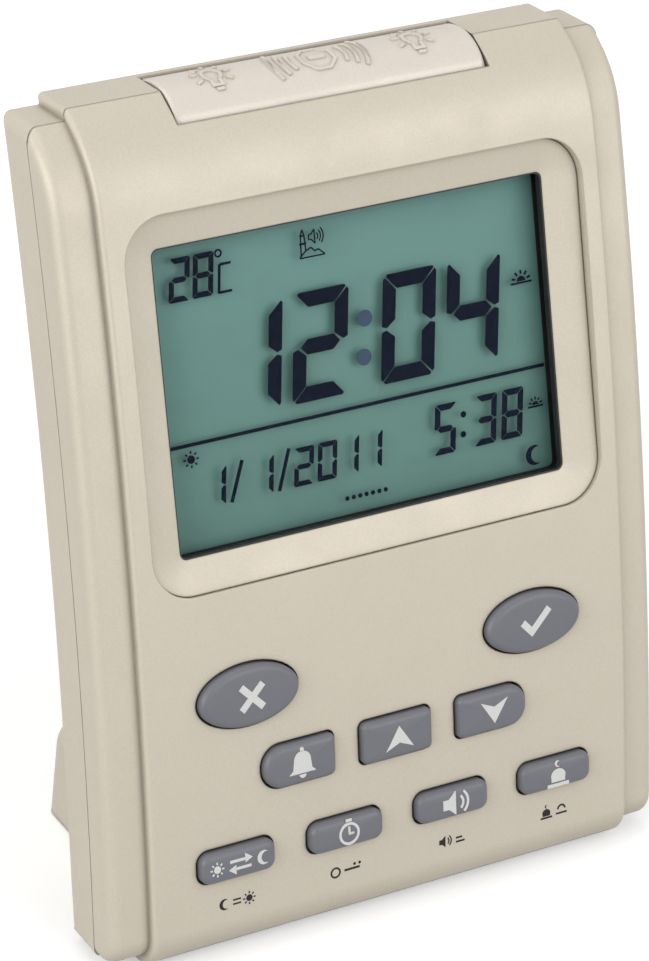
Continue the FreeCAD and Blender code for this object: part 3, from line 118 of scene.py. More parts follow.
# ---------------------------------------------------------------- places
class Lean:
    """A leaning face: X across, `up` up the face and `out` of its front."""

    def __init__(self, degrees):
        turn = math.radians(degrees)
        self.up = np.array((0.0, math.sin(turn), math.cos(turn)))
        self.out = np.array((0.0, -math.cos(turn), math.sin(turn)))

    def span(self, node):
        """Lowest and highest (x, up, out) of a node, in millimetres."""
        spots = corners_of(NODES[node])
        flat = np.column_stack((spots[:, 0], spots @ self.up, spots @ self.out)) / MM
        return flat.min(0), flat.max(0)

    def place(self, flat):
        """Points (x, up, out) in millimetres as points of the frame in metres."""
        flat = np.asarray(flat, float)
        across = np.zeros((len(flat), 3))
        across[:, 0] = flat[:, 0]
        return MM * (across + flat[:, 1:2] * self.up + flat[:, 2:3] * self.out)


def corners_of(thing):
    """All mesh corners of an object as an array of points in metres."""
    spots = np.zeros(len(thing.data.vertices) * 3)
    thing.data.vertices.foreach_get("co", spots)
    return spots.reshape(-1, 3)


KEY_FACE = Lean(14.9)
DISPLAY_FACE = Lean(20.0)
CASE_FACE = Lean(17.45)
TOP_FACE = Lean(97.5)


# ---------------------------------------------------------------- loops and solids
def arc(x, y, across, painted_light_rise, turn):
    """Points at the given angles, in radians, of an ellipse about (x, y)."""
    return np.column_stack((x + across * np.cos(turn), y + painted_light_rise * np.sin(turn)))


def oval(width, height, count=96):
    """Ellipse as a counter-clockwise loop."""
    return arc(0.0, 0.0, width / 2, height / 2, np.linspace(0, 2 * math.pi, count, endpoint=False))


def rounded_box(width, height, left, right=None, steps=10):
    """Rectangle with quarter circles at its corners, as a counter-clockwise loop."""
    right = left if right is None else right
    corners = []
    for start, (east, north) in zip((0, 90, 180, 270), ((1, 1), (-1, 1), (-1, -1), (1, -1))):
        radius = right if east > 0 else left
        turn = np.radians(np.linspace(start, start + 90, steps + 1))
        middle = east * (width / 2 - radius), north * (height / 2 - radius)
        corners.append(arc(*middle, radius, radius, turn))
    return np.vstack(corners)


def inset(loop, depth):
    """The loop moved in by a depth along the mitre of its two edge normals at each point."""
    ahead = np.roll(loop, -1, 0) - loop
    ahead /= np.maximum(np.linalg.norm(ahead, axis=1, keepdims=True), 1e-9)
    normal = np.column_stack((-ahead[:, 1], ahead[:, 0]))
    before = np.roll(normal, 1, 0)
    mitre = (normal + before) / (1 + (normal * before).sum(1, keepdims=True))
    return loop + depth * mitre


def level(loop, height):
    """Loop of points (x, up) at one height."""
    return np.column_stack((loop, np.full(len(loop), height)))


def walls(count, low, high):
    """Quads between two loops of `count` points whose first points are `low` and `high`."""
    column = np.arange(count)
    after = (column + 1) % count
    return np.column_stack((low + column, low + after, high + after, high + column)).tolist()


def stack(loops):
    """Closed surface through loops of equal length: quads between them and a lid on each end."""
    count, last = len(loops[0]), len(loops[0]) * (len(loops) - 1)
    faces = [face for low in range(0, last, count) for face in walls(count, low, low + count)]
    faces += [list(range(count))[::-1], list(range(last, last + count))]
    return np.vstack(loops), faces


def ring(outer, inner, low, high):
    """Closed frame between an outer and an inner loop of equal length."""
    count = len(outer)
    spots = np.vstack((level(outer, low), level(outer, high), level(inner, high), level(inner, low)))
    faces = [face for row in range(4) for face in walls(count, row * count, (row + 1) % 4 * count)]
    return spots, faces


def prism(polygons, low, high):
    """Flat polygons raised from one height to another."""
    spots, faces, base = [], [], 0
    for polygon in polygons:
        flat = np.asarray(polygon, float)
        ahead = np.roll(flat, -1, 0)
        if (flat[:, 0] * ahead[:, 1] - ahead[:, 0] * flat[:, 1]).sum() < 0:
            flat = flat[::-1]
        count = len(flat)
        spots += [level(flat, low), level(flat, high)]
        faces += walls(count, base, base + count)
        faces += [list(range(base, base + count))[::-1], list(range(base + count, base + 2 * count))]
        base += 2 * count
    return np.vstack(spots), faces


def joined(*solids):
    """Several solids as one list of points and faces."""
    spots, faces, base = [], [], 0
    for points, sides in solids:
        spots.append(points)
        faces += [[base + corner for corner in side] for side in sides]
        base += len(points)
    return np.vstack(spots), faces


def linked(name, data):
    """Object that holds the data, linked to the scene at the origin."""
    thing = bpy.data.objects.new(name, data)
    bpy.context.scene.collection.objects.link(thing)
    return thing


def mesh_of(name, spots, faces):
    """Mesh from points in metres."""
    mesh = bpy.data.meshes.new(name)
    mesh.from_pydata(spots.tolist(), [], faces)
    return mesh


def new_piece(name, spots, faces, body, finish, replaces=None):
    """Mesh object from points in metres, riding on a body, smooth but for edges over 35 degrees."""
    mesh = mesh_of(name, spots, faces)
    mesh.validate()
    piece = linked(name, mesh)
    mesh.shade_smooth()
    mesh.set_sharp_from_angle(angle=math.radians(35.0))
    mesh.materials.append(finish)
    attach(piece, body)
    if replaces:
        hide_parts(replaces)
    return piece


def even_normals(mesh, radii, flat_area=3.0, spread=28.0):
    """Exact normals on the bowed and flat parts of a triangle mesh, shared with the rounds that meet them.

    Each corner offers a direction: the one from the bow axis where its whole face lies at a bow
    radius, the face's own elsewhere.  Its weight is area times corner angle, and a million times
    that on the bow and on large upright flanks.  Those keep their own direction; every other
    corner takes the weighted mean of what the corners at its vertex offer within `spread` degrees.
    """
    corner = np.zeros(len(mesh.loops), int)
    mesh.loops.foreach_get("vertex_index", corner)
    spots = np.zeros(len(mesh.vertices) * 3)
    mesh.vertices.foreach_get("co", spots)
    spots = spots.reshape(-1, 3) / MM
    points = spots[corner].reshape(-1, 3, 3)
    ahead, behind = np.roll(points, -1, 1) - points, np.roll(points, 1, 1) - points
    sweep = np.cross(ahead, behind)
    size = np.linalg.norm(sweep, axis=2)
    angle = np.arctan2(size, (ahead * behind).sum(2))
    area = size[:, 0] / 2
    normal = sweep[:, 0] / np.maximum(size[:, :1], 1e-9)
    away = points - (0.0, *BOW_AXIS)
    away[:, :, 0] = 0.0
    reach = np.linalg.norm(away, axis=2)
    away /= reach[:, :, None]
    facing = (normal * away[:, 0]).sum(1)
    bowed = np.zeros(len(area), bool)
    for radius in radii:
        bowed |= (np.abs(reach - radius) < ON_BOW).all(1) & (np.abs(facing) > FACING)
    flank = (area > flat_area) & (np.abs(normal[:, 0]) > SQUARE)
    own = np.repeat(normal[:, None], 3, 1)
    offer = np.where(bowed[:, None, None], away * np.sign(facing)[:, None, None], own).reshape(-1, 3)
    settled = np.repeat(bowed | flank, 3)
    weight = (area[:, None] * angle).ravel() * np.where(settled, 1e6, 1.0)
    own = own.reshape(-1, 3)
    order = np.argsort(corner, kind="stable")
    start = np.searchsorted(corner[order], corner)
    stop = np.searchsorted(corner[order], corner, "right")
    total = np.zeros_like(own)
    for step in range(int((stop - start).max())):
        other = order[np.minimum(start + step, len(order) - 1)]
        near = (start + step < stop) & ((offer[other] * own).sum(1) > math.cos(math.radians(spread)))
        total += np.where(near, weight[other], 0.0)[:, None] * offer[other]
    total[settled] = offer[settled]
    length = np.linalg.norm(total, axis=1, keepdims=True)
    mesh.normals_split_custom_set((total / np.maximum(length, 1e-12)).tolist())


# ---------------------------------------------------------------- finishes
class Finish:
    """Node material on Object coordinates, built up from small steps."""

    def __init__(self, name):
        self.material = bpy.data.materials.new(name)
        self.material.use_nodes = True
        self.nodes = self.material.node_tree.nodes
        self.links = self.material.node_tree.links
        self.shader = self.nodes["Principled BSDF"]
        self.place = self.nodes.new("ShaderNodeTexCoord").outputs["Object"]

    def put(self, socket, value):
        """Link a socket, or set it to a plain colour or number."""
        if isinstance(value, bpy.types.NodeSocket):
            self.links.new(value, socket)
        elif socket.type == "RGBA":
            socket.default_value = (*value[:3], 1.0)
        else:
            socket.default_value = value

    def set(self, **inputs):
        """Put values on the shader's own sockets."""
        for name, value in inputs.items():
            self.put(self.shader.inputs[name.replace("_", " ")], value)

    def add(self, kind, **inputs):
        """New shader node with values on its sockets."""
        node = self.nodes.new(f"ShaderNode{kind}")
        for name, value in inputs.items():
            self.put(node.inputs[name.replace("_", " ")], value)
        return node

    def noise(self, grain, detail=4.0, stretch=None):
        """Noise with features of about `grain` millimetres, drawn out where its coordinates are scaled."""
        place = self.place
        if stretch:
            place = self.add("Mapping", Scale=stretch, Vector=place).outputs["Vector"]
        return self.add("TexNoise", Scale=1.0 / (grain * MM), Detail=detail, Vector=place).outputs["Fac"]

    def flecks(self, grain):
        """Random value for each cell of about `grain` millimetres."""
        cells = self.add("TexVoronoi", Scale=1.0 / (grain * MM), Vector=self.place)
        return self.add("SeparateColor", Color=cells.outputs["Color"]).outputs["Red"]

    def spread(self, value, low, high, start=0.0, end=1.0):
        """Value taken from start..end to low..high."""
        node = self.add("MapRange", Value=value, From_Min=start, From_Max=end, To_Min=low, To_Max=high)
        return node.outputs["Result"]

    def mix(self, factor, first, second, blend="MIX"):
        """Colour between the first, at factor 0, and the second, at factor 1."""
        node = self.nodes.new("ShaderNodeMix")
        node.data_type, node.blend_type = "RGBA", blend
        for number, value in ((0, factor), (6, first), (7, second)):
            self.put(node.inputs[number], value)
        return node.outputs[2]

    def math(self, operation, first, second):
        """Sum, product or the like of two values."""
        node = self.nodes.new("ShaderNodeMath")
        node.operation = operation
        for number, value in enumerate((first, second)):
            self.put(node.inputs[number], value)
        return node.outputs[0]

    def crevice(self, reach):
        """1 in the open and towards 0 in seams and corners narrower than the reach."""
        node = self.add("AmbientOcclusion", Distance=reach * MM)
        node.samples = 6
        return node.outputs["AO"]

    def bump(self, height, depth, strength=0.6, soft=0.0):
        """Relief of the given depth, over edges shaded as if rounded by `soft`, both in millimetres."""
        node = self.add("Bump", Strength=strength, Distance=depth * MM, Height=height)
        if soft:
            edge = self.add("Bevel", Radius=soft * MM)
            edge.samples = 6
            self.links.new(edge.outputs["Normal"], node.inputs["Normal"])
        self.set(Normal=node.outputs["Normal"])


def tint(colour, factor):
    """The colour made lighter or darker by a factor, at most white."""
    return tuple(min(1.0, channel * factor) for channel in colour[:3])


def moulded(name, colour, roughness, grain, relief, fleck=0.0, metal=0.0, coat=0.0, seam=0.75, mottle=0.05,
            soft=0.0):
    """Moulded or coated surface: mottled colour, flakes, fine grain, painted shade darkening seams and
    corners, and rubbed patches.
    """
    finish = Finish(name)
    cloud = finish.noise(26.0, 2.0)
    shade = finish.mix(cloud, tint(colour, 1 - mottle), tint(colour, 1 + mottle))
    if fleck:
        spark = finish.spread(finish.flecks(0.11), 0.0, fleck)
        shade = finish.mix(spark, shade, tint(colour, 1.35))
        dark = finish.spread(finish.flecks(0.15), 0.0, fleck * 0.8)
        shade = finish.mix(dark, shade, tint(colour, 0.6))
    # Painted shade: the colour is multiplied darker where ambient occlusion finds seams and corners.
    painted_crevice_shade = finish.spread(finish.crevice(1.5), seam, 1.0, 0.3, 0.88)
    shade = finish.mix(1.0, shade, finish.mix(painted_crevice_shade, (0, 0, 0), (1, 1, 1)), "MULTIPLY")
    rubbed = finish.spread(finish.noise(9.0, 5.0), roughness + 0.05, roughness - 0.06, 0.35, 0.65)
    finish.set(Base_Color=shade, Roughness=rubbed, Metallic=metal)
    if coat:
        finish.set(Coat_Weight=coat, Coat_Roughness=0.12)
    finish.bump(finish.noise(grain, 3.0), relief, soft=soft)
    return finish.material


def clear_sheet(name, colour, alpha, roughness):
    """Clear polished sheet that shows what lies behind it, with a faint haze."""
    finish = Finish(name)
    haze = finish.spread(finish.noise(6.0, 5.0), 0.0, alpha * 0.4, 0.45, 0.75)
    finish.set(Base_Color=finish.mix(haze, colour, tint(colour, 1.1)), Alpha=finish.math("ADD", alpha, haze))
    finish.set(Roughness=finish.spread(finish.noise(3.0, 4.0), roughness, roughness + 0.05))
    finish.set(Specular_IOR_Level=0.12)
    finish.bump(finish.noise(12.0, 1.0), 0.004, 0.2)
    return finish.material


def board_finish(name, colour):
    """Solder mask over copper runs, with a glass weave below."""
    finish = Finish(name)
    lines = finish.add("TexBrick", Scale=320.0, Mortar_Size=0.06, Vector=finish.place, Color1=colour,
                       Color2=tint(colour, 0.8), Mortar=tint(colour, 1.8))
    weave = finish.noise(0.5, 2.0, (1, 1, 4))
    shade = finish.mix(finish.spread(weave, 0.0, 0.3), lines.outputs["Color"], tint(colour, 1.3))
    finish.set(Base_Color=shade, Roughness=finish.spread(weave, 0.25, 0.4))
    finish.bump(lines.outputs["Fac"], -0.02)
    return finish.material


def metal_finish(name, colour, roughness, brushed=(1, 1, 1)):
    """Plated metal with drawn lines and dull patches."""
    finish = Finish(name)
    lines = finish.noise(0.3, 4.0, brushed)
    patch = finish.noise(2.0, 4.0)
    finish.set(Base_Color=finish.mix(patch, tint(colour, 0.75), tint(colour, 1.1)), Metallic=1.0)
    finish.set(Roughness=finish.spread(lines, roughness - 0.08, roughness + 0.12))
    finish.bump(lines, 0.01)
    return finish.material


def liquid_crystal(name):
    """Grey-green reflector behind the crystal: painted lighter and bluer towards the top, as light falls
    there, and finely grained.
    """
    finish = Finish(name)
    # Painted light: the face's colour runs from darker at the bottom to lighter and bluer at the top.
    painted_light_rise = finish.spread(finish.add("SeparateXYZ", Vector=finish.place).outputs["Z"], 0.0, 1.0, 0.060, 0.108)
    face = finish.mix(painted_light_rise, (0.170, 0.350, 0.304), (0.246, 0.495, 0.447))
    face = finish.mix(finish.spread(finish.noise(0.12, 2.0), 0.0, 0.2), face, (0.22, 0.41, 0.37))
    face = finish.mix(finish.spread(finish.noise(18.0, 2.0), 0.0, 0.1), face, (0.11, 0.24, 0.21))
    finish.set(Base_Color=face, Roughness=finish.spread(finish.noise(2.0, 3.0), 0.42, 0.55))
    finish.set(Specular_IOR_Level=0.3)
    finish.bump(finish.noise(0.1, 2.0), 0.004)
    return finish.material


def ink(name, colour, roughness=0.5, gloss=0.2):
    """Thin printed ink with uneven cover."""
    finish = Finish(name)
    cover = finish.noise(0.25, 4.0)
    finish.set(Base_Color=finish.mix(finish.spread(cover, 0.0, 0.5, 0.3, 0.8), colour, tint(colour, 0.8)))
    finish.set(Roughness=finish.spread(cover, roughness, roughness + 0.15), Specular_IOR_Level=gloss)
    finish.bump(cover, 0.008)
    return finish.material


# Colour, roughness, grain and relief in millimetres, and what else sets a moulded finish apart, among it how
# dark its painted shade in seams and corners gets.
MOULDED = {
    "case_plastic": ((0.600, 0.545, 0.445), 0.46, 0.14, 0.007,
                     dict(fleck=0.2, metal=0.2, seam=0.32, mottle=0.02, soft=0.35)),
    "bar_plastic": ((0.70, 0.635, 0.562), 0.42, 0.14, 0.006,
                    dict(fleck=0.18, metal=0.2, mottle=0.02, soft=0.3)),
    "key_rubber": ((0.160, 0.163, 0.186), 0.42, 0.3, 0.012, {}),
    "mat_rubber": ((0.07, 0.07, 0.08), 0.65, 0.5, 0.03, {}),
    "white_plastic": ((0.75, 0.75, 0.72), 0.5, 0.6, 0.02, {}),
    "black_plastic": ((0.02, 0.02, 0.022), 0.45, 0.4, 0.02, dict(mottle=0.2)),
    "plunger_plastic": ((0.45, 0.05, 0.03), 0.35, 0.5, 0.01, {}),
    "speaker_paper": ((0.03, 0.03, 0.03), 0.85, 0.25, 0.06, dict(mottle=0.3)),
    "ferrite": ((0.06, 0.06, 0.065), 0.7, 0.2, 0.04, dict(mottle=0.2)),
    "cell_jacket": ((0.05, 0.09, 0.2), 0.3, 3.0, 0.01, dict(coat=0.4)),
    "wire_plastic": ((0.7, 0.67, 0.6), 0.45, 0.6, 0.01, dict(mottle=0.08)),
}
FINISHES = {}


def slot_finishes(chosen):
    """One finish for each material slot of the part, in the chosen colour where there is one."""
    finishes = {name: moulded(name, chosen.get(name, colour), *surface, **others)
                for name, (colour, *surface, others) in MOULDED.items()}
    finishes.update(
        clear_window=clear_sheet("clear_window", (0.03, 0.035, 0.035), 0.03, 0.05),
        guide_plastic=clear_sheet("guide_plastic", (0.8, 0.88, 0.9), 0.4, 0.15),
        lcd_glass=liquid_crystal("lcd_glass"),
        circuit_board=board_finish("circuit_board", (0.03, 0.16, 0.07)),
        spring_steel=metal_finish("spring_steel", (0.7, 0.7, 0.7), 0.25, (1, 8, 1)),
        screw_steel=metal_finish("screw_steel", (0.5, 0.5, 0.5), 0.4))
    return finishes


# ---------------------------------------------------------------- signs
def bar(x0, y0, x1, y1, width):
    """Straight stroke between two points."""
    ahead = np.array((x1 - x0, y1 - y0), float)
    side = np.array((-ahead[1], ahead[0])) / np.linalg.norm(ahead) * width / 2
    first, last = np.array((x0, y0)), np.array((x1, y1))
    return [first - side, last - side, last + side, first + side]


def band(x, y, inner, outer, start, end, steps=24):
    """Stroke along an arc between two angles in degrees."""
    turn = np.radians(np.linspace(start, end, steps + 1))
    return np.vstack((arc(x, y, outer, outer, turn), arc(x, y, inner, inner, turn)[::-1]))


def hoop(x, y, inner, outer):
    """Full ring, as two half bands."""
    return [band(x, y, inner, outer, 0, 180), band(x, y, inner, outer, 180, 360)]


def disc(x, y, radius, steps=28):
    """Full disc."""
    return oval(2 * radius, 2 * radius, steps) + (x, y)


def moved(polygons, x=0.0, y=0.0, scale=1.0):
    """The polygons scaled about the origin and then moved."""
    return [np.asarray(polygon, float) * scale + (x, y) for polygon in polygons]


def crescent(x, y, radius, bite=0.82, shift=0.42, steps=24):
    """Moon open to the right: an arc closed by the arc of a smaller, shifted disc."""
    reach = (radius**2 - (bite * radius) ** 2 + (shift * radius) ** 2) / (2 * shift * radius)
    outer = math.degrees(math.acos(reach / radius))
    inner = math.degrees(math.acos((reach - shift * radius) / (bite * radius)))
    far = np.radians(np.linspace(outer, 360 - outer, steps))
    near = np.radians(np.linspace(360 - inner, inner, steps))
    hollow = arc(shift * radius, 0.0, bite * radius, bite * radius, near)
    return np.vstack((arc(0.0, 0.0, radius, radius, far), hollow[1:-1])) + (x, y)


def rays(x, y, inner, outer, width, count, start=0.0, sweep=360.0):
    """Short strokes round a point."""
    share = count if sweep == 360.0 else count - 1
    turn = np.radians(start + sweep * np.arange(count) / share)
    ends = zip(arc(x, y, inner, inner, turn), arc(x, y, outer, outer, turn))
    return [bar(*near, *far, width) for near, far in ends]


def sun(x, y, radius):
    """Disc with eight rays."""
    return [disc(x, y, radius * 0.5)] + rays(x, y, radius * 0.68, radius, radius * 0.2, 8)


def half_sun(x, y, radius):
    """Half disc with five rays over a base line."""
    shapes = [band(x, y, 0.0, radius * 0.5, 0, 180)]
    shapes += rays(x, y, radius * 0.7, radius * 1.1, radius * 0.2, 5, 18, 144)
    return shapes + [bar(x - radius * 1.2, y - 0.25, x + radius * 1.2, y - 0.25, 0.3)]


def arrowhead(x, y, way, width, height):
    """Pointer with a hollowed base."""
    half, painted_light_rise = width / 2, way * height
    return [(x - half, y - painted_light_rise / 2), (x, y - painted_light_rise * 0.22), (x + half, y - painted_light_rise / 2), (x, y + painted_light_rise / 2)]


def bell(x, y, size):
    """Bell with its clapper and ring."""
    dome = arc(0.0, 0.12, 0.30, 0.30, np.radians(np.linspace(0, 180, 15)))
    skirt = [(-0.34, -0.18), (-0.48, -0.30), (0.48, -0.30), (0.34, -0.18)]
    shapes = [np.vstack((dome, skirt)), band(0, -0.34, 0.0, 0.12, 180, 360), disc(0, 0.47, 0.07)]
    return moved(shapes, x, y, size)


def speaker_sign(x, y, size):
    """Horn with two sound arcs."""
    shapes = [[(-0.5, -0.16), (-0.3, -0.16), (-0.05, -0.38), (-0.05, 0.38), (-0.3, 0.16), (-0.5, 0.16)]]
    shapes += [band(-0.05, 0.0, reach, reach + 0.08, -48, 48) for reach in (0.22, 0.39)]
    return moved(shapes, x, y, size)


def dome_sign(x, y, size):
    """Dome with a small crescent over a plain base line."""
    dome = arc(0.0, 0.02, 0.34, 0.30, np.radians(np.linspace(-20, 200, 25)))
    shapes = [np.vstack((dome, [(-0.32, -0.22), (0.32, -0.22)])), bar(-0.5, -0.36, 0.5, -0.36, 0.14),
              crescent(0.0, 0.52, 0.13)]
    return moved(shapes, x, y, size)


def timer_sign(x, y, size):
    """Dial with two hands and a crown."""
    shapes = hoop(0, 0, 0.34, 0.44) + [bar(0, 0, 0, 0.28, 0.09), bar(-0.03, 0, 0.2, 0, 0.09),
                                       bar(-0.12, 0.52, 0.12, 0.52, 0.1)]
    return moved(shapes, x, y, size)


def swap_sign(x, y, size):
    """Two opposed arrows."""
    shapes = [bar(-0.4, 0.14, 0.2, 0.14, 0.1), [(0.18, 0.0), (0.46, 0.14), (0.18, 0.34)],
              bar(0.4, -0.14, -0.2, -0.14, 0.1), [(-0.18, 0.0), (-0.46, -0.14), (-0.18, -0.34)]]
    return moved(shapes, x, y, size)


def cross_sign(x, y, size):
    """Diagonal cross as one outline: a plus turned by 45 degrees."""
    thin, arm = 0.1, 0.48
    plus = [(arm, -thin), (arm, thin), (thin, thin), (thin, arm), (-thin, arm), (-thin, thin),
            (-arm, thin), (-arm, -thin), (-thin, -thin), (-thin, -arm), (thin, -arm), (thin, -thin)]
    half = math.sqrt(0.5)
    return moved([np.array(plus) @ np.array(((half, half), (-half, half)))], x, y, size)


def tick_sign(x, y, size):
    """Tick as one outline."""
    tick = [(-0.5, 0.02), (-0.36, 0.16), (-0.14, -0.08), (0.36, 0.42), (0.5, 0.28), (-0.14, -0.36)]
    return moved([tick], x, y, size)


def bulb_sign(x, y, size):
    """Lamp with rays, drawn in outline."""
    thin = 0.09
    shapes = [band(0, 0.06, 0.18, 0.27, -60, 240), bar(-0.11, -0.15, -0.11, -0.3, thin),
              bar(0.11, -0.15, 0.11, -0.3, thin), bar(-0.16, -0.34, 0.16, -0.34, thin),
              bar(-0.1, -0.46, 0.1, -0.46, thin)]
    return moved(shapes + rays(0, 0.06, 0.35, 0.52, thin, 7, -30, 240), x, y, size)


def octagon_sign(x, y, size):
    """Outlined eight-sided plate with a bar, between two sets of arcs."""
    shapes = [band(0, 0, 0.40, 0.50, start, start + 180, 4) for start in (22.5, 202.5)]
    shapes.append(bar(-0.22, 0, 0.22, 0, 0.16))
    shapes += [band(0, 0, reach, reach + 0.10, turn - 26, turn + 26)
               for turn in (0, 180) for reach in (0.68, 0.93, 1.18)]
    return moved(shapes, x, y, size)


# The signs on the keys, and the marks printed under the lower ones.
KEY_SIGNS = {
    "exit_key": cross_sign(0, 0, 5.6),
    "set_key": tick_sign(0, 0, 5.8),
    "alarm_key": bell(0, 0, 5.0),
    "up_key": [arrowhead(0, 0, 1, 5.0, 3.8)],
    "down_key": [arrowhead(0, 0, -1, 5.0, 3.8)],
    "calendar_key": swap_sign(0, 0, 4.6) + sun(-4.1, 0, 1.2) + [crescent(4.1, 0, 1.15)],
    "iqamah_key": timer_sign(0, -0.1, 4.2),
    "sound_key": speaker_sign(0.4, 0, 5.2),
    "azan_key": dome_sign(0, -0.3, 4.0),
}
MARKS = {
    "calendar_key": [crescent(-1.8, 0, 0.8), *sun(2.0, 0, 0.95),
                     bar(-0.5, 0.3, 0.7, 0.3, 0.22), bar(-0.5, -0.3, 0.7, -0.3, 0.22)],
    "iqamah_key": [*hoop(-1.4, 0, 0.55, 0.8),
                   bar(0, 0, 2.4, 0, 0.3), disc(2.4, 0.6, 0.2), disc(1.6, 0.6, 0.2)],
    "sound_key": [*speaker_sign(-0.6, 0, 2.2),
                  bar(1.0, -0.5, 2.4, -0.5, 0.25), bar(1.0, 0.1, 2.0, 0.1, 0.25)],
    "azan_key": [*dome_sign(-1.0, -0.1, 1.9),
                 bar(0.6, -0.6, 2.4, -0.6, 0.25), band(1.5, 0, 0.45, 0.7, 0, 180)],
}


# ---------------------------------------------------------------- display figures
SEGMENTS = {"0": "abcdef", "1": "bc", "2": "abged", "3": "abgcd", "4": "fgbc", "5": "afgcd",
            "6": "afgedc", "7": "abc", "8": "abcdefg", "9": "abcdfg"}
# Rows of figures: what they show, where each stands, and their level, width, height and stroke.
FIGURE_ROWS = (("1204", (-17.2, -5.6, 10.15, 21.8), (3.65, 9.6, 16.7, 2.35)),
               ("28", (-28.6, -24.55), (17.75, 3.5, 6.6, 0.85)),
               ("112011", (-25.7, -17.4, -10.35, -6.2, -2.3, 1.9), (-14.35, 3.4, 5.9, 0.78)),
               ("538", (15.15, 22.6, 27.5), (-13.7, 3.9, 7.8, 0.98)))
COLON = (disc(2.5, 6.1, 1.3), disc(1.8, 0.2, 1.3))


def digit(figure, x, y, width, height, stroke):
    """Slanted seven-segment figure about (x, y): mitred ends, and outer corners cut off at 45 degrees."""
    half, tall, mid = width / 2, height / 2, stroke / 2
    gap, cut, slant = stroke * 0.07, stroke * 0.34, 0.12
    far, near = (cut + gap) / 2, (cut - gap) / 2
    inner = half - stroke
    lid = np.array([(cut - half, tall), (half - cut, tall), (half - far, tall - near),
                    (inner - gap, tall - stroke), (gap - inner, tall - stroke), (far - half, tall - near)])
    side = np.array([(half - near, tall - far), (half, tall - cut), (half, gap + mid * 0.25),
                     (half - mid * 0.7, gap), (inner, mid + gap), (inner, tall - stroke - gap)])
    waist = np.array([(mid + gap - half, 0), (gap - inner, mid), (inner - gap, mid), (half - mid - gap, 0),
                      (inner - gap, -mid), (gap - inner, -mid)])
    west, south = np.array((-1.0, 1.0)), np.array((1.0, -1.0))
    shapes = {"a": lid, "b": side, "c": side * south, "d": lid * south, "e": side * west * south,
              "f": side * west, "g": waist}
    lean = np.array(((1.0, 0.0), (slant, 1.0)))
    return [shapes[name] @ lean + (x, y) for name in SEGMENTS[figure]]


def trace(points, width):
    """Strokes from point to point."""
    return [bar(*first, *last, width) for first, last in zip(points, points[1:])]


def tower_mark(x, y):
    """Small tower on a mound and a horn with sound arcs, drawn in outline."""
    line, fine = 0.05, 0.045
    tower = [(-0.46, -0.40), (-0.43, 0.30), (-0.35, 0.52), (-0.28, 0.30), (-0.26, -0.22)]
    mound = [(-0.52, -0.46), (-0.26, -0.24), (-0.04, -0.16), (0.10, -0.30), (0.26, -0.26), (0.50, -0.48),
             (-0.52, -0.48)]
    horn = [(-0.1, 0.12), (-0.1, 0.3), (0.0, 0.3), (0.14, 0.46), (0.14, -0.04), (0.0, 0.12), (-0.1, 0.12)]
    shapes = [bar(-0.50, 0.02, -0.22, 0.02, 0.07), bar(-0.46, 0.30, -0.25, 0.30, line)]
    shapes += trace(tower, line) + trace(mound, line) + trace(horn, fine)
    shapes += [band(0.10, 0.21, reach, reach + fine, -42, 42) for reach in (0.15, 0.26, 0.37)]
    return moved(shapes, x, y, 4.3)


def display_figures():
    """Everything that the crystal shows: time, temperature, date, next time and marks."""
    shapes = []
    for figures, places, sizes in FIGURE_ROWS:
        for figure, x in zip(figures, places):
            shapes += digit(figure, x, *sizes)
    shapes += [bar(-32.8, -7.2, 34.0, -7.2, 0.55), bar(-22.1, 14.6, -19.9, 14.6, 0.4),
               bar(-21.6, 18.8, -19.7, 18.8, 0.4), bar(-22.15, 14.5, -21.65, 18.8, 0.45),
               bar(-23.3, -17.3, -20.9, -11.2, 0.6), bar(-15.0, -17.3, -12.7, -11.1, 0.6)]
    shapes += hoop(-21.7, 20.5, 0.38, 0.65) + tower_mark(-5.6, 19.2) + sun(-29.5, -9.4, 1.3)
    shapes += half_sun(31.0, 6.6, 1.6) + half_sun(31.9, -13.2, 1.15)
    shapes += [disc(18.6, -12.1, 0.5), disc(18.3, -15.2, 0.5), crescent(31.0, -21.1, 1.6)]
    return shapes + [disc(-3.3 + 1.15 * number, -20.9, 0.36) for number in range(7)]


# ---------------------------------------------------------------- settings
class ClockPieces(bpy.types.PropertyGroup):
    """Sizes of the clock's visible pieces."""

    end_round: FloatProperty(name="End round", description="Rounding of the stop bar's ends, mm",
                             default=0.55, min=0.05, max=0.8)
    seam_gap: FloatProperty(name="Seam gap", description="Width of the joint between the case halves, mm",
                            default=0.14, min=0.0, max=0.5)
    key_rim: FloatProperty(name="Key rim", description="Soft rim of the keys, mm",
                           default=1.05, min=0.2, max=1.4)
    key_crown: FloatProperty(name="Key crown", description="Height of the keys' crown, mm",
                             default=0.10, min=0.0, max=0.3)
    print_height: FloatProperty(name="Print height", description="How proud the printed signs stand, mm",
                                default=0.03, min=0.01, max=0.1)
    relief: FloatProperty(name="Bar relief", description="How proud the stop bar's symbols stand, mm",
                          default=0.28, min=0.02, max=0.4)
    loop_steps: IntProperty(name="Rim steps", description="Loops round a key's soft rim",
                            default=9, min=3, max=20)


class ClockColours(bpy.types.PropertyGroup):
    """Colours of the material slots that show most, each named for its slot."""

    case_plastic: FloatVectorProperty(name="Case", description="Colour of the case", subtype="COLOR",
                                      default=MOULDED["case_plastic"][0], min=0.0, max=1.0)
    bar_plastic: FloatVectorProperty(name="Stop bar", description="Colour of the stop bar", subtype="COLOR",
                                     default=MOULDED["bar_plastic"][0], min=0.0, max=1.0)
    key_rubber: FloatVectorProperty(name="Keys", description="Colour of the keys", subtype="COLOR",
                                    default=MOULDED["key_rubber"][0], min=0.0, max=1.0)


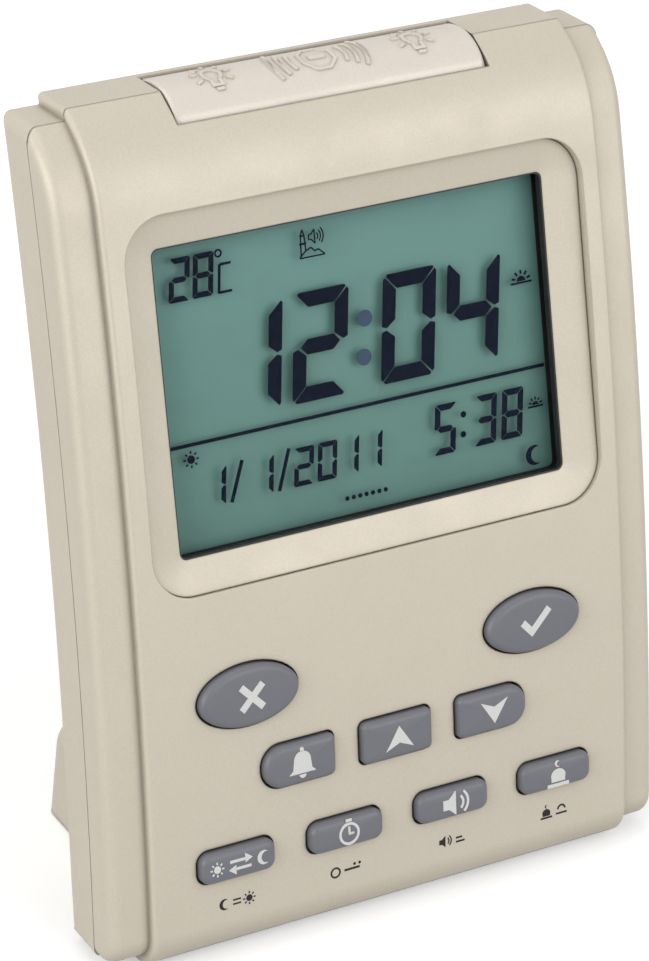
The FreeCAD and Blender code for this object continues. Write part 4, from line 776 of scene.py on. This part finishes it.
class ClockStage(bpy.types.PropertyGroup):
    """Camera and light of the studio."""

    camera_place: FloatVectorProperty(name="Camera", description="Where the camera stands", unit="LENGTH",
                                      subtype="TRANSLATION", default=(-0.34627, -0.47189, 0.42801))
    lens: FloatProperty(name="Lens", description="Focal length on a 36 mm sensor, mm",
                        default=172.32, min=20.0)
    key_power: FloatProperty(name="Key light", description="Power of the main light", unit="POWER",
                             default=4.9, min=0.0)
    fill_power: FloatProperty(name="Fill light", description="Power of the fill light", unit="POWER",
                              default=6.6, min=0.0)
    top_power: FloatProperty(name="Top light", description="Power of the light above", unit="POWER",
                             default=2.2, min=0.0)
    sky: FloatProperty(name="Sky", description="Strength of the even light from all round",
                       default=0.56, min=0.0)


# ---------------------------------------------------------------- finishes and skins
class CLOCK_OT_finishes(bpy.types.Operator):
    """Give every node of the part the finish of its material slot"""

    bl_idname = "clock.finishes"
    bl_label = "Finishes"

    def execute(self, context):
        colours = context.scene.clock_colours
        chosen = {slot: getattr(colours, slot) for slot in ClockColours.__annotations__}
        FINISHES.update(slot_finishes(chosen))
        for name, node in NODES.items():
            node.data.materials.clear()
            node.data.materials.append(FINISHES[SLOT_OF[name]])
        return {"FINISHED"}


def rows_of(place):
    """Corners of a round in rows along the bow, each row in the order of its angles across the round.

    Where a row's corners are doubled along the bow it gives two rows, the nearer and the farther
    ones.  The first and the last row, which end the round, are left out.
    """
    order = sorted(place, key=lambda vert: place[vert][0])
    cuts = [at for at in range(1, len(order)) if place[order[at]][0] - place[order[at - 1]][0] > ROW_GAP]
    rows = []
    for first, last in list(zip([0, *cuts], [*cuts, len(order)]))[1:-1]:
        across = sorted(order[first:last], key=lambda vert: place[vert][1])
        groups = [[across[0]]]
        for vert in across[1:]:
            if place[vert][1] - place[groups[-1][0]][1] > TURN_GAP:
                groups.append([])
            groups[-1].append(vert)
        chains = [[pick(group, key=lambda vert: place[vert][0]) for group in groups] for pick in (min, max)]
        rows += chains if chains[0] != chains[1] else chains[:1]
    return rows


def zip_rows(work, low, high, place, flip):
    """Triangles between two rows; each step goes along the row whose next corner has the lesser angle."""
    below, above = 0, 0
    while below < len(low) - 1 or above < len(high) - 1:
        step_low = above == len(high) - 1 or (below < len(low) - 1 and
                                              place[low[below + 1]][1] <= place[high[above + 1]][1])
        tip = low[below + 1] if step_low else high[above + 1]
        corners = (high[above], low[below], tip) if flip else (low[below], high[above], tip)
        if len(set(corners)) == 3:
            work.faces.new(corners)
        below, above = below + step_low, above + (not step_low)


def regrid(work, side, soft):
    """Rows of triangles across the back edge's round, in place of fans that cut its corner off.

    The round's section is a quarter circle of radius `soft` between the flank at x = side and the
    bow's back.  Each corner on it has a place: its way along the bow and its angle across the round.
    """
    for hand in (-1, 1):
        place = {}
        for vert in work.verts:
            back, painted_light_rise = vert.co.y / MM - BOW_AXIS[0], vert.co.z / MM - BOW_AXIS[1]
            across, out = hand * vert.co.x / MM - side + soft, BACK_RADIUS - math.hypot(back, painted_light_rise) + soft
            if abs(math.hypot(across, out) - soft) < ON_ROUND and min(across, out) > -PAST_ROUND:
                place[vert] = math.atan2(painted_light_rise, -back) * BACK_RADIUS, math.atan2(out, across)
        rows = rows_of(place)
        number = {vert: at for at, row in enumerate(rows) for vert in row}
        old = []
        for face in work.faces:
            if all(vert in number for vert in face.verts):
                turns = [place[vert][1] for vert in face.verts]
                on_end = {number[vert] for vert in face.verts} in ({0}, {len(rows) - 1})
                if max(turns) - min(turns) > TURN_GAP and not on_end:
                    old.append(face)
        bmesh.ops.delete(work, geom=old, context="FACES_ONLY")
        for low, high in zip(rows, rows[1:]):
            zip_rows(work, low, high, place, hand > 0)
        for row in (rows[0], rows[-1]):
            caps = [face for face in work.faces if all(vert in row for vert in face.verts)]
            if any(len(edge.link_faces) > 2 for face in caps for edge in face.edges):
                bmesh.ops.delete(work, geom=caps, context="FACES_ONLY")
    bmesh.ops.delete(work, geom=[edge for edge in work.edges if not edge.link_faces], context="EDGES")


def round_ends(work, soft):
    """Round the stop bar's end edges over, all along its crown."""
    flats = [face for face in work.faces if abs(face.normal.x) > SQUARE and face.calc_area() > 0]
    bmesh.ops.dissolve_faces(work, faces=flats)
    ends = []
    for edge in work.edges:
        flat = [face for face in edge.link_faces if abs(face.normal.x) > SQUARE]
        across = [(vert.co.y / MM - BAR_AXIS[0], vert.co.z / MM - BAR_AXIS[1]) for vert in edge.verts]
        if len(flat) == 1 and min(math.hypot(*way) for way in across) > BAR_RADIUS - ON_SURFACE:
            ends.append(edge)
    bmesh.ops.bevel(work, geom=ends, offset=soft * MM, segments=4, profile=0.5, affect="EDGES",
                    clamp_overlap=False)


def skin(node, end_round):
    """Merged copy of a node, standing for the node."""
    work = bmesh.new()
    work.from_mesh(NODES[node].data)
    bmesh.ops.remove_doubles(work, verts=work.verts, dist=MERGED * MM)
    if node == "rear_cover":
        regrid(work, *BACK_EDGE)
    if node == "stop_bar":
        round_ends(work, end_round)
    mesh = bpy.data.meshes.new(f"{node}_skin")
    work.to_mesh(mesh)
    work.free()
    mesh.materials.clear()
    mesh.materials.append(FINISHES[SLOT_OF[node]])
    piece = linked(f"{node}_skin", mesh)
    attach(piece, BODY_OF[node])
    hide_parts(node)
    return piece


def draw_in(piece, axis, radius, depth):
    """Bring the corners that lie on a bow, and above its axis, in by a depth along its radius.

    No corner goes below the table.
    """
    spots = corners_of(piece)
    away = spots[:, 1:] - np.array(axis) * MM
    reach = np.linalg.norm(away, axis=1, keepdims=True)
    on_bow = (np.abs(reach - radius * MM) < ON_SURFACE * MM) & (away[:, 1:] > 0)
    spots[:, 1:] -= np.where(on_bow, away / reach * depth * MM, 0.0)
    spots[:, 2] = np.maximum(spots[:, 2], 0.0)
    piece.data.vertices.foreach_set("co", spots.ravel())
    piece.data.update()


def round_top(piece):
    """Cut the cover's top side edges to the rounds in which the front half ends.

    The cutter's section is what a square corner has outside a quarter circle, and 1 mm beyond.
    """
    solids = []
    for side, top, soft in TOP_EDGES:
        curve = arc(side - soft, top - soft, soft, soft, np.radians(np.linspace(90, 0, 9)))
        outline = np.vstack((curve, [(side + 1, top - soft), (side + 1, top + 1), (side - soft, top + 1)]))
        solids += [prism([outline * (hand, 1)], *TOP_CUT) for hand in (-1, 1)]
    spots, faces = joined(*solids)
    mesh = mesh_of("top_cutter", TOP_FACE.place(spots[:, (0, 2, 1)]), [face[::-1] for face in faces])
    cutter = linked("top_cutter", mesh)
    cut = piece.modifiers.new("round_top", "BOOLEAN")
    cut.operation, cut.solver, cut.object = "DIFFERENCE", "EXACT", cutter
    rounded = bpy.data.meshes.new_from_object(piece.evaluated_get(bpy.context.evaluated_depsgraph_get()))
    piece.modifiers.clear()
    piece.data = rounded
    bpy.data.objects.remove(cutter)


def finish_skin(piece):
    """Triangles with exact normals."""
    work = bmesh.new()
    work.from_mesh(piece.data)
    bmesh.ops.triangulate(work, faces=work.faces)
    work.to_mesh(piece.data)
    work.free()
    piece.data.shade_smooth()
    even_normals(piece.data, (PANEL_RADIUS, SHOULDER_RADIUS, BACK_RADIUS))


class CLOCK_OT_skins(bpy.types.Operator):
    """Smooth skins for the case halves, bezel, door and stop bar"""

    bl_idname = "clock.skins"
    bl_label = "Case skins"

    def execute(self, context):
        sizes = context.scene.clock_pieces
        skins = {node: skin(node, sizes.end_round) for node in SKINNED}
        draw_in(skins["stop_bar"], BAR_AXIS, BAR_RADIUS, sizes.relief)
        draw_in(skins["rear_cover"], BOW_AXIS, SEAM_RADIUS, sizes.seam_gap)
        round_top(skins["rear_cover"])
        for piece in skins.values():
            finish_skin(piece)
        return {"FINISHED"}


# ---------------------------------------------------------------- keys
def key_loop(node, width, height):
    """Outline of a key's cap."""
    if node in ("exit_key", "set_key"):
        return oval(width, height)
    return rounded_box(width, height, *KEY_CORNERS.get(node, LOWER_KEY_CORNERS))


def key_solid(node, rim, crown, steps):
    """Cap with an elliptic rim and a low crown, over its skirt and stem.

    The rim's inset is r(1 - cos t) while its height is r sin t; the crown rises with
    1 - s squared, where s is the scale of the loop about the key's middle.
    """
    low, high = KEY_FACE.span(node)
    middle = (low + high) / 2
    width, height = high[0] - low[0] - 2 * KEY_SKIRT, high[1] - low[1] - 2 * KEY_SKIRT
    face, top = high[2] - KEY_PROUD, high[2] - crown - rim
    outline = key_loop(node, width, height)
    loops = [level(outline, face + SKIRT_TOP), level(outline, top)]
    for turn in np.radians(np.linspace(0, 90, steps + 1))[1:]:
        loops.append(level(inset(outline, rim * (1 - math.cos(turn))), top + rim * math.sin(turn)))
    edge = inset(outline, rim)
    loops += [level(edge * share, high[2] - crown * share**2) for share in CROWN_SHARES]
    skirt = outline * ((width + 2 * KEY_SKIRT) / width, (height + 2 * KEY_SKIRT) / height)
    shelf = [level(skirt, face + SKIRT_FOOT), level(skirt, face + SKIRT_TOP)]
    stem = oval(2 * STEM_RADIUS, 2 * STEM_RADIUS, 32)
    post = [level(stem, low[2]), level(stem, face + SKIRT_FOOT)]
    spots, faces = joined(stack(loops), stack(shelf), stack(post))
    return spots + (middle[0], middle[1], 0.0), faces


class CLOCK_OT_keys(bpy.types.Operator):
    """Rubber keys with soft rims and a low crown"""

    bl_idname = "clock.keys"
    bl_label = "Keys"

    def execute(self, context):
        sizes = context.scene.clock_pieces
        for node in KEYS:
            spots, faces = key_solid(node, sizes.key_rim, sizes.key_crown, sizes.loop_steps)
            new_piece(f"{node}_cap", KEY_FACE.place(spots), faces, node,
                      FINISHES["key_rubber"], node)
        return {"FINISHED"}


class CLOCK_OT_key_signs(bpy.types.Operator):
    """White signs printed on the keys"""

    bl_idname = "clock.key_signs"
    bl_label = "Key signs"

    def execute(self, context):
        white = ink("white_ink", (0.78, 0.78, 0.76))
        proud = context.scene.clock_pieces.print_height
        for node, shapes in KEY_SIGNS.items():
            low, high = KEY_FACE.span(node)
            middle = (low + high) / 2
            spots, faces = prism(moved(shapes, middle[0], middle[1]), high[2] - PRINT_ROOT, high[2] + proud)
            new_piece(f"{node}_sign", KEY_FACE.place(spots), faces, node, white)
        return {"FINISHED"}


# ---------------------------------------------------------------- marks and symbols
def on_panel(flat):
    """Points (x, up the key face, height) laid on the bowed front panel.

    Each keeps its height up the frame and stands where the bow of the panel's radius plus its own
    height has it: y = axis - root(reach squared - z squared), with z measured from the axis.
    """
    spots = KEY_FACE.place(flat * (1, 1, 0)) / MM
    reach = PANEL_RADIUS + flat[:, 2]
    spots[:, 1] = BOW_AXIS[0] - np.sqrt(reach**2 - (spots[:, 2] - BOW_AXIS[1]) ** 2)
    return MM * spots


class CLOCK_OT_marks(bpy.types.Operator):
    """Small dark marks printed on the panel under the lower keys"""

    bl_idname = "clock.marks"
    bl_label = "Panel marks"

    def execute(self, context):
        dark = ink("panel_ink", (0.02, 0.02, 0.02))
        shapes = []
        for node, mark in MARKS.items():
            low, high = KEY_FACE.span(node)
            shapes += moved(mark, (low[0] + high[0]) / 2, low[1] + KEY_SKIRT - MARK_DROP, MARK_SCALE)
        spots, faces = prism(shapes, -PRINT_ROOT, context.scene.clock_pieces.print_height)
        new_piece("panel_marks", on_panel(spots), faces, "clock_case", dark)
        return {"FINISHED"}


def on_bar(flat):
    """Points (x, along the crown from its top, height) wrapped on the stop bar's crown.

    The way along the crown over its radius is the angle from the top, and the height adds to the radius.
    """
    turn, reach = flat[:, 1] / BAR_RADIUS, BAR_RADIUS + flat[:, 2]
    back, up = BAR_AXIS[0] + reach * np.sin(turn), BAR_AXIS[1] + reach * np.cos(turn)
    return MM * np.column_stack((flat[:, 0], back, up))


class CLOCK_OT_bar_signs(bpy.types.Operator):
    """Raised symbols along the stop bar's crown"""

    bl_idname = "clock.bar_signs"
    bl_label = "Stop bar symbols"

    def execute(self, context):
        left, middle, right = BAR_PLACES
        shapes = bulb_sign(left, *BAR_SIGN) + bulb_sign(right, *BAR_SIGN) + octagon_sign(middle, *BAR_SIGN)
        spots, faces = prism(shapes, -context.scene.clock_pieces.relief - BAR_ROOT, 0.0)
        new_piece("stop_bar_symbols", on_bar(spots), faces, "stop_bar",
                  FINISHES["bar_plastic"])
        return {"FINISHED"}


# ---------------------------------------------------------------- display
class CLOCK_OT_display(bpy.types.Operator):
    """Crystal, figures and dark mask of the display, and a black ring of painted shade lining its throat"""

    bl_idname = "clock.display"
    bl_label = "Display"

    def execute(self, context):
        low, high = DISPLAY_FACE.span("lcd_glass")
        wide, tall, _ = high - low
        here = ((low[0] + high[0]) / 2, (low[1] + high[1]) / 2, 0.0)
        back, front = low[2], high[2]
        gate = front + GLASS_FRONT - WINDOW_FRONT

        def add(name, solid, finish, replaces=None):
            """Piece of the case that is centred on the glass."""
            spots, faces = solid
            new_piece(name, DISPLAY_FACE.place(spots + here), faces, "clock_case", finish, replaces)

        def opening(wider, corner):
            """Outline of the opening inside the glass's border, made wider by a length."""
            return rounded_box(wide - GLASS_BORDER + wider, tall - GLASS_BORDER + wider, corner)

        plate, lip, throat = rounded_box(wide, tall, GLASS_CORNER), opening(*LIP), opening(*THROAT)
        add("lcd_reflector", stack([level(plate, back), level(plate, front - CRYSTAL_DEPTH)]),
            FINISHES["lcd_glass"], "lcd_glass")
        sheet = clear_sheet("crystal_sheet", (0.03, 0.05, 0.05), 0.02, 0.25)
        add("lcd_front_sheet", stack([level(plate, front - CRYSTAL_DEPTH + SHEET_GAP), level(plate, front)]),
            sheet)
        # One black finish serves the crystal's mask and the painted shade in the throat.
        mask_and_shade_black = moulded("display_mask", (0.012, 0.012, 0.014), 0.5, 0.3, 0.01, mottle=0.2)
        add("lcd_mask", ring(plate, throat, front + MASK[0], front + MASK[1]), mask_and_shade_black)
        # Painted shade: a black ring lining the bezel's throat stands for the shade inside it.
        add("display_gasket", ring(lip, throat, gate + SHADE_RING[0], gate + SHADE_RING[1]), mask_and_shade_black)
        dark = ink("crystal_ink", (0.004, 0.007, 0.022), 0.45, 0.05)
        add("lcd_figures", prism(display_figures(), front - INK_BACK, front - INK_FRONT), dark)
        faded = ink("crystal_ink_faded", (0.045, 0.09, 0.15), 0.35)
        add("lcd_colon", prism(COLON, front - INK_BACK, front - INK_FRONT), faded)
        return {"FINISHED"}


# ---------------------------------------------------------------- screws
def screw_solid(x, up, top, length):
    """Pan head with a cross recess, over its shank.

    The recess outline at angle a is the lesser of arm / max(|cos a|, |sin a|) and
    half arm width / min(|cos a|, |sin a|).
    """
    way = oval(2.0, 2.0, 64)
    large, small = np.abs(way).max(1), np.maximum(np.abs(way).min(1), 1e-6)
    cross = np.minimum(HEAD_RADIUS * 0.55 / large, HEAD_RADIUS * 0.12 / small)[:, None] * way
    rim, foot = way * HEAD_RADIUS, top + HEAD_HEIGHT
    loops = [level(way * SHANK_RADIUS, foot + length), level(way * SHANK_RADIUS, foot), level(rim, foot),
             level(rim, top + HEAD_HEIGHT * 0.35), level(rim * 0.93, top + HEAD_HEIGHT * 0.12),
             level(rim * 0.8, top), level(cross, top), level(cross * 0.9, top + HEAD_HEIGHT * 0.4),
             level(cross * 0.4, top + HEAD_HEIGHT * 0.7)]
    spots, faces = stack(loops)
    return spots + (x, up, 0.0), [face[::-1] for face in faces]


class CLOCK_OT_screws(bpy.types.Operator):
    """Case screws with cross recesses"""

    bl_idname = "clock.screws"
    bl_label = "Case screws"

    def execute(self, context):
        low, high = CASE_FACE.span("case_screws")
        near, far = low + HEAD_RADIUS, high - HEAD_RADIUS
        solids = [screw_solid(x, up, low[2], high[2] - low[2] - HEAD_HEIGHT)
                  for x in (near[0], far[0]) for up in (near[1], far[1])]
        spots, faces = joined(*solids)
        new_piece("case_screw_heads", CASE_FACE.place(spots), faces, "clock_case",
                  FINISHES["screw_steel"], "case_screws")
        return {"FINISHED"}


# ---------------------------------------------------------------- studio
def add_lamp(name, place, size, power):
    """Square lamp that faces the clock."""
    lamp = linked(name, bpy.data.lights.new(name, "AREA"))
    lamp.data.size, lamp.data.energy = size, power
    away = Vector(place) - Vector(LAMP_AIM)
    lamp.matrix_world = Matrix.Translation(place) @ away.to_track_quat("Z", "Y").to_matrix().to_4x4()


def backdrop_rays(nodes, links):
    """1 for rays from the camera, off gloss and through glass, which see the white backdrop, else 0."""
    path = nodes.new("ShaderNodeLightPath")
    seen = path.outputs["Is Camera Ray"]
    for kind in ("Is Glossy Ray", "Is Transmission Ray"):
        either = nodes.new("ShaderNodeMath")
        either.operation = "MAXIMUM"
        links.new(seen, either.inputs[0])
        links.new(path.outputs[kind], either.inputs[1])
        seen = either.outputs[0]
    return seen


def add_floor():
    """Round sheet whose diffuse shade is lifted towards white for the rays that see the backdrop."""
    spots, faces = stack([level(oval(2.0, 2.0) * reach, 0.0) for reach in FLOOR_RINGS])
    mesh = mesh_of("floor", spots - (0, 0, FLOOR_DROP), faces[:-2] + faces[-1:])
    floor = linked("floor", mesh)
    finish = Finish("floor_paper")
    seen = backdrop_rays(finish.nodes, finish.links)
    tone = finish.mix(finish.noise(300.0, 2.0), (0.80, 0.80, 0.80), (0.82, 0.82, 0.82))
    tone = finish.mix(seen, (0.30, 0.30, 0.30), tone)
    finish.set(Base_Color=tone, Roughness=0.9, Specular_IOR_Level=0.1)
    finish.set(Emission_Color=(1.0, 1.0, 1.0), Emission_Strength=finish.math("MULTIPLY", seen, 0.35))
    mesh.materials.append(finish.material)


def add_world(strength):
    """Even grey light, seen as white by the camera, in gloss and through glass."""
    world = bpy.data.worlds.new("studio")
    bpy.context.scene.world = world
    world.use_nodes = True
    nodes, links = world.node_tree.nodes, world.node_tree.links
    lit, seen = nodes["Background"], nodes.new("ShaderNodeBackground")
    for light in (lit, seen):
        light.inputs["Color"].default_value = (1.0, 1.0, 1.0, 1.0)
    lit.inputs["Strength"].default_value = strength
    both = nodes.new("ShaderNodeMixShader")
    links.new(backdrop_rays(nodes, links), both.inputs[0])
    links.new(lit.outputs[0], both.inputs[1])
    links.new(seen.outputs[0], both.inputs[2])
    links.new(both.outputs[0], nodes["World Output"].inputs["Surface"])


class CLOCK_OT_stage(bpy.types.Operator):
    """Pale floor, soft lights and camera"""

    bl_idname = "clock.stage"
    bl_label = "Studio"

    def execute(self, context):
        settings = context.scene.clock_stage
        add_floor()
        add_world(settings.sky)
        for name, (place, size, power) in LAMPS.items():
            add_lamp(name, place, size, getattr(settings, power))
        camera = linked("camera", bpy.data.cameras.new("camera"))
        camera.data.sensor_width, camera.data.lens, camera.data.clip_end = 36.0, settings.lens, 20.0
        turn = Matrix((CAMERA_RIGHT, CAMERA_UP, CAMERA_BACK)).transposed()
        camera.matrix_world = Matrix.Translation(settings.camera_place) @ turn.to_4x4()
        context.scene.camera = camera
        context.scene.view_settings.view_transform = "Standard"
        return {"FINISHED"}


# ---------------------------------------------------------------- panel and registration
class CLOCK_PT_panel(bpy.types.Panel):
    """Lists the clock's operators and settings"""

    bl_label = "Prayer clock"
    bl_idname = "CLOCK_PT_panel"
    bl_space_type = "VIEW_3D"
    bl_region_type = "UI"
    bl_category = "Clock"

    def draw(self, context):
        for operator in OPERATORS:
            self.layout.operator(operator.bl_idname)
        for name, kind in SETTINGS.items():
            for setting in kind.__annotations__:
                self.layout.prop(getattr(context.scene, name), setting)


OPERATORS = (CLOCK_OT_finishes, CLOCK_OT_skins, CLOCK_OT_keys, CLOCK_OT_key_signs, CLOCK_OT_marks,
             CLOCK_OT_bar_signs, CLOCK_OT_display, CLOCK_OT_screws, CLOCK_OT_stage)
SETTINGS = {"clock_pieces": ClockPieces, "clock_colours": ClockColours, "clock_stage": ClockStage}
CLASSES = (*SETTINGS.values(), *OPERATORS, CLOCK_PT_panel)


def register():
    """Register the classes and hang the settings on the scene."""
    for kind in CLASSES:
        bpy.utils.register_class(kind)
    for name, kind in SETTINGS.items():
        setattr(bpy.types.Scene, name, PointerProperty(type=kind))


def unregister():
    """Undo register, last class first."""
    for name in SETTINGS:
        delattr(bpy.types.Scene, name)
    for kind in reversed(CLASSES):
        bpy.utils.unregister_class(kind)


def main():
    """Build everything in order."""
    register()
    bpy.ops.clock.finishes()
    bpy.ops.clock.skins()
    bpy.ops.clock.keys()
    bpy.ops.clock.key_signs()
    bpy.ops.clock.marks()
    bpy.ops.clock.bar_signs()
    bpy.ops.clock.display()
    bpy.ops.clock.screws()
    bpy.ops.clock.stage()


if __name__ == "__main__":
    main()
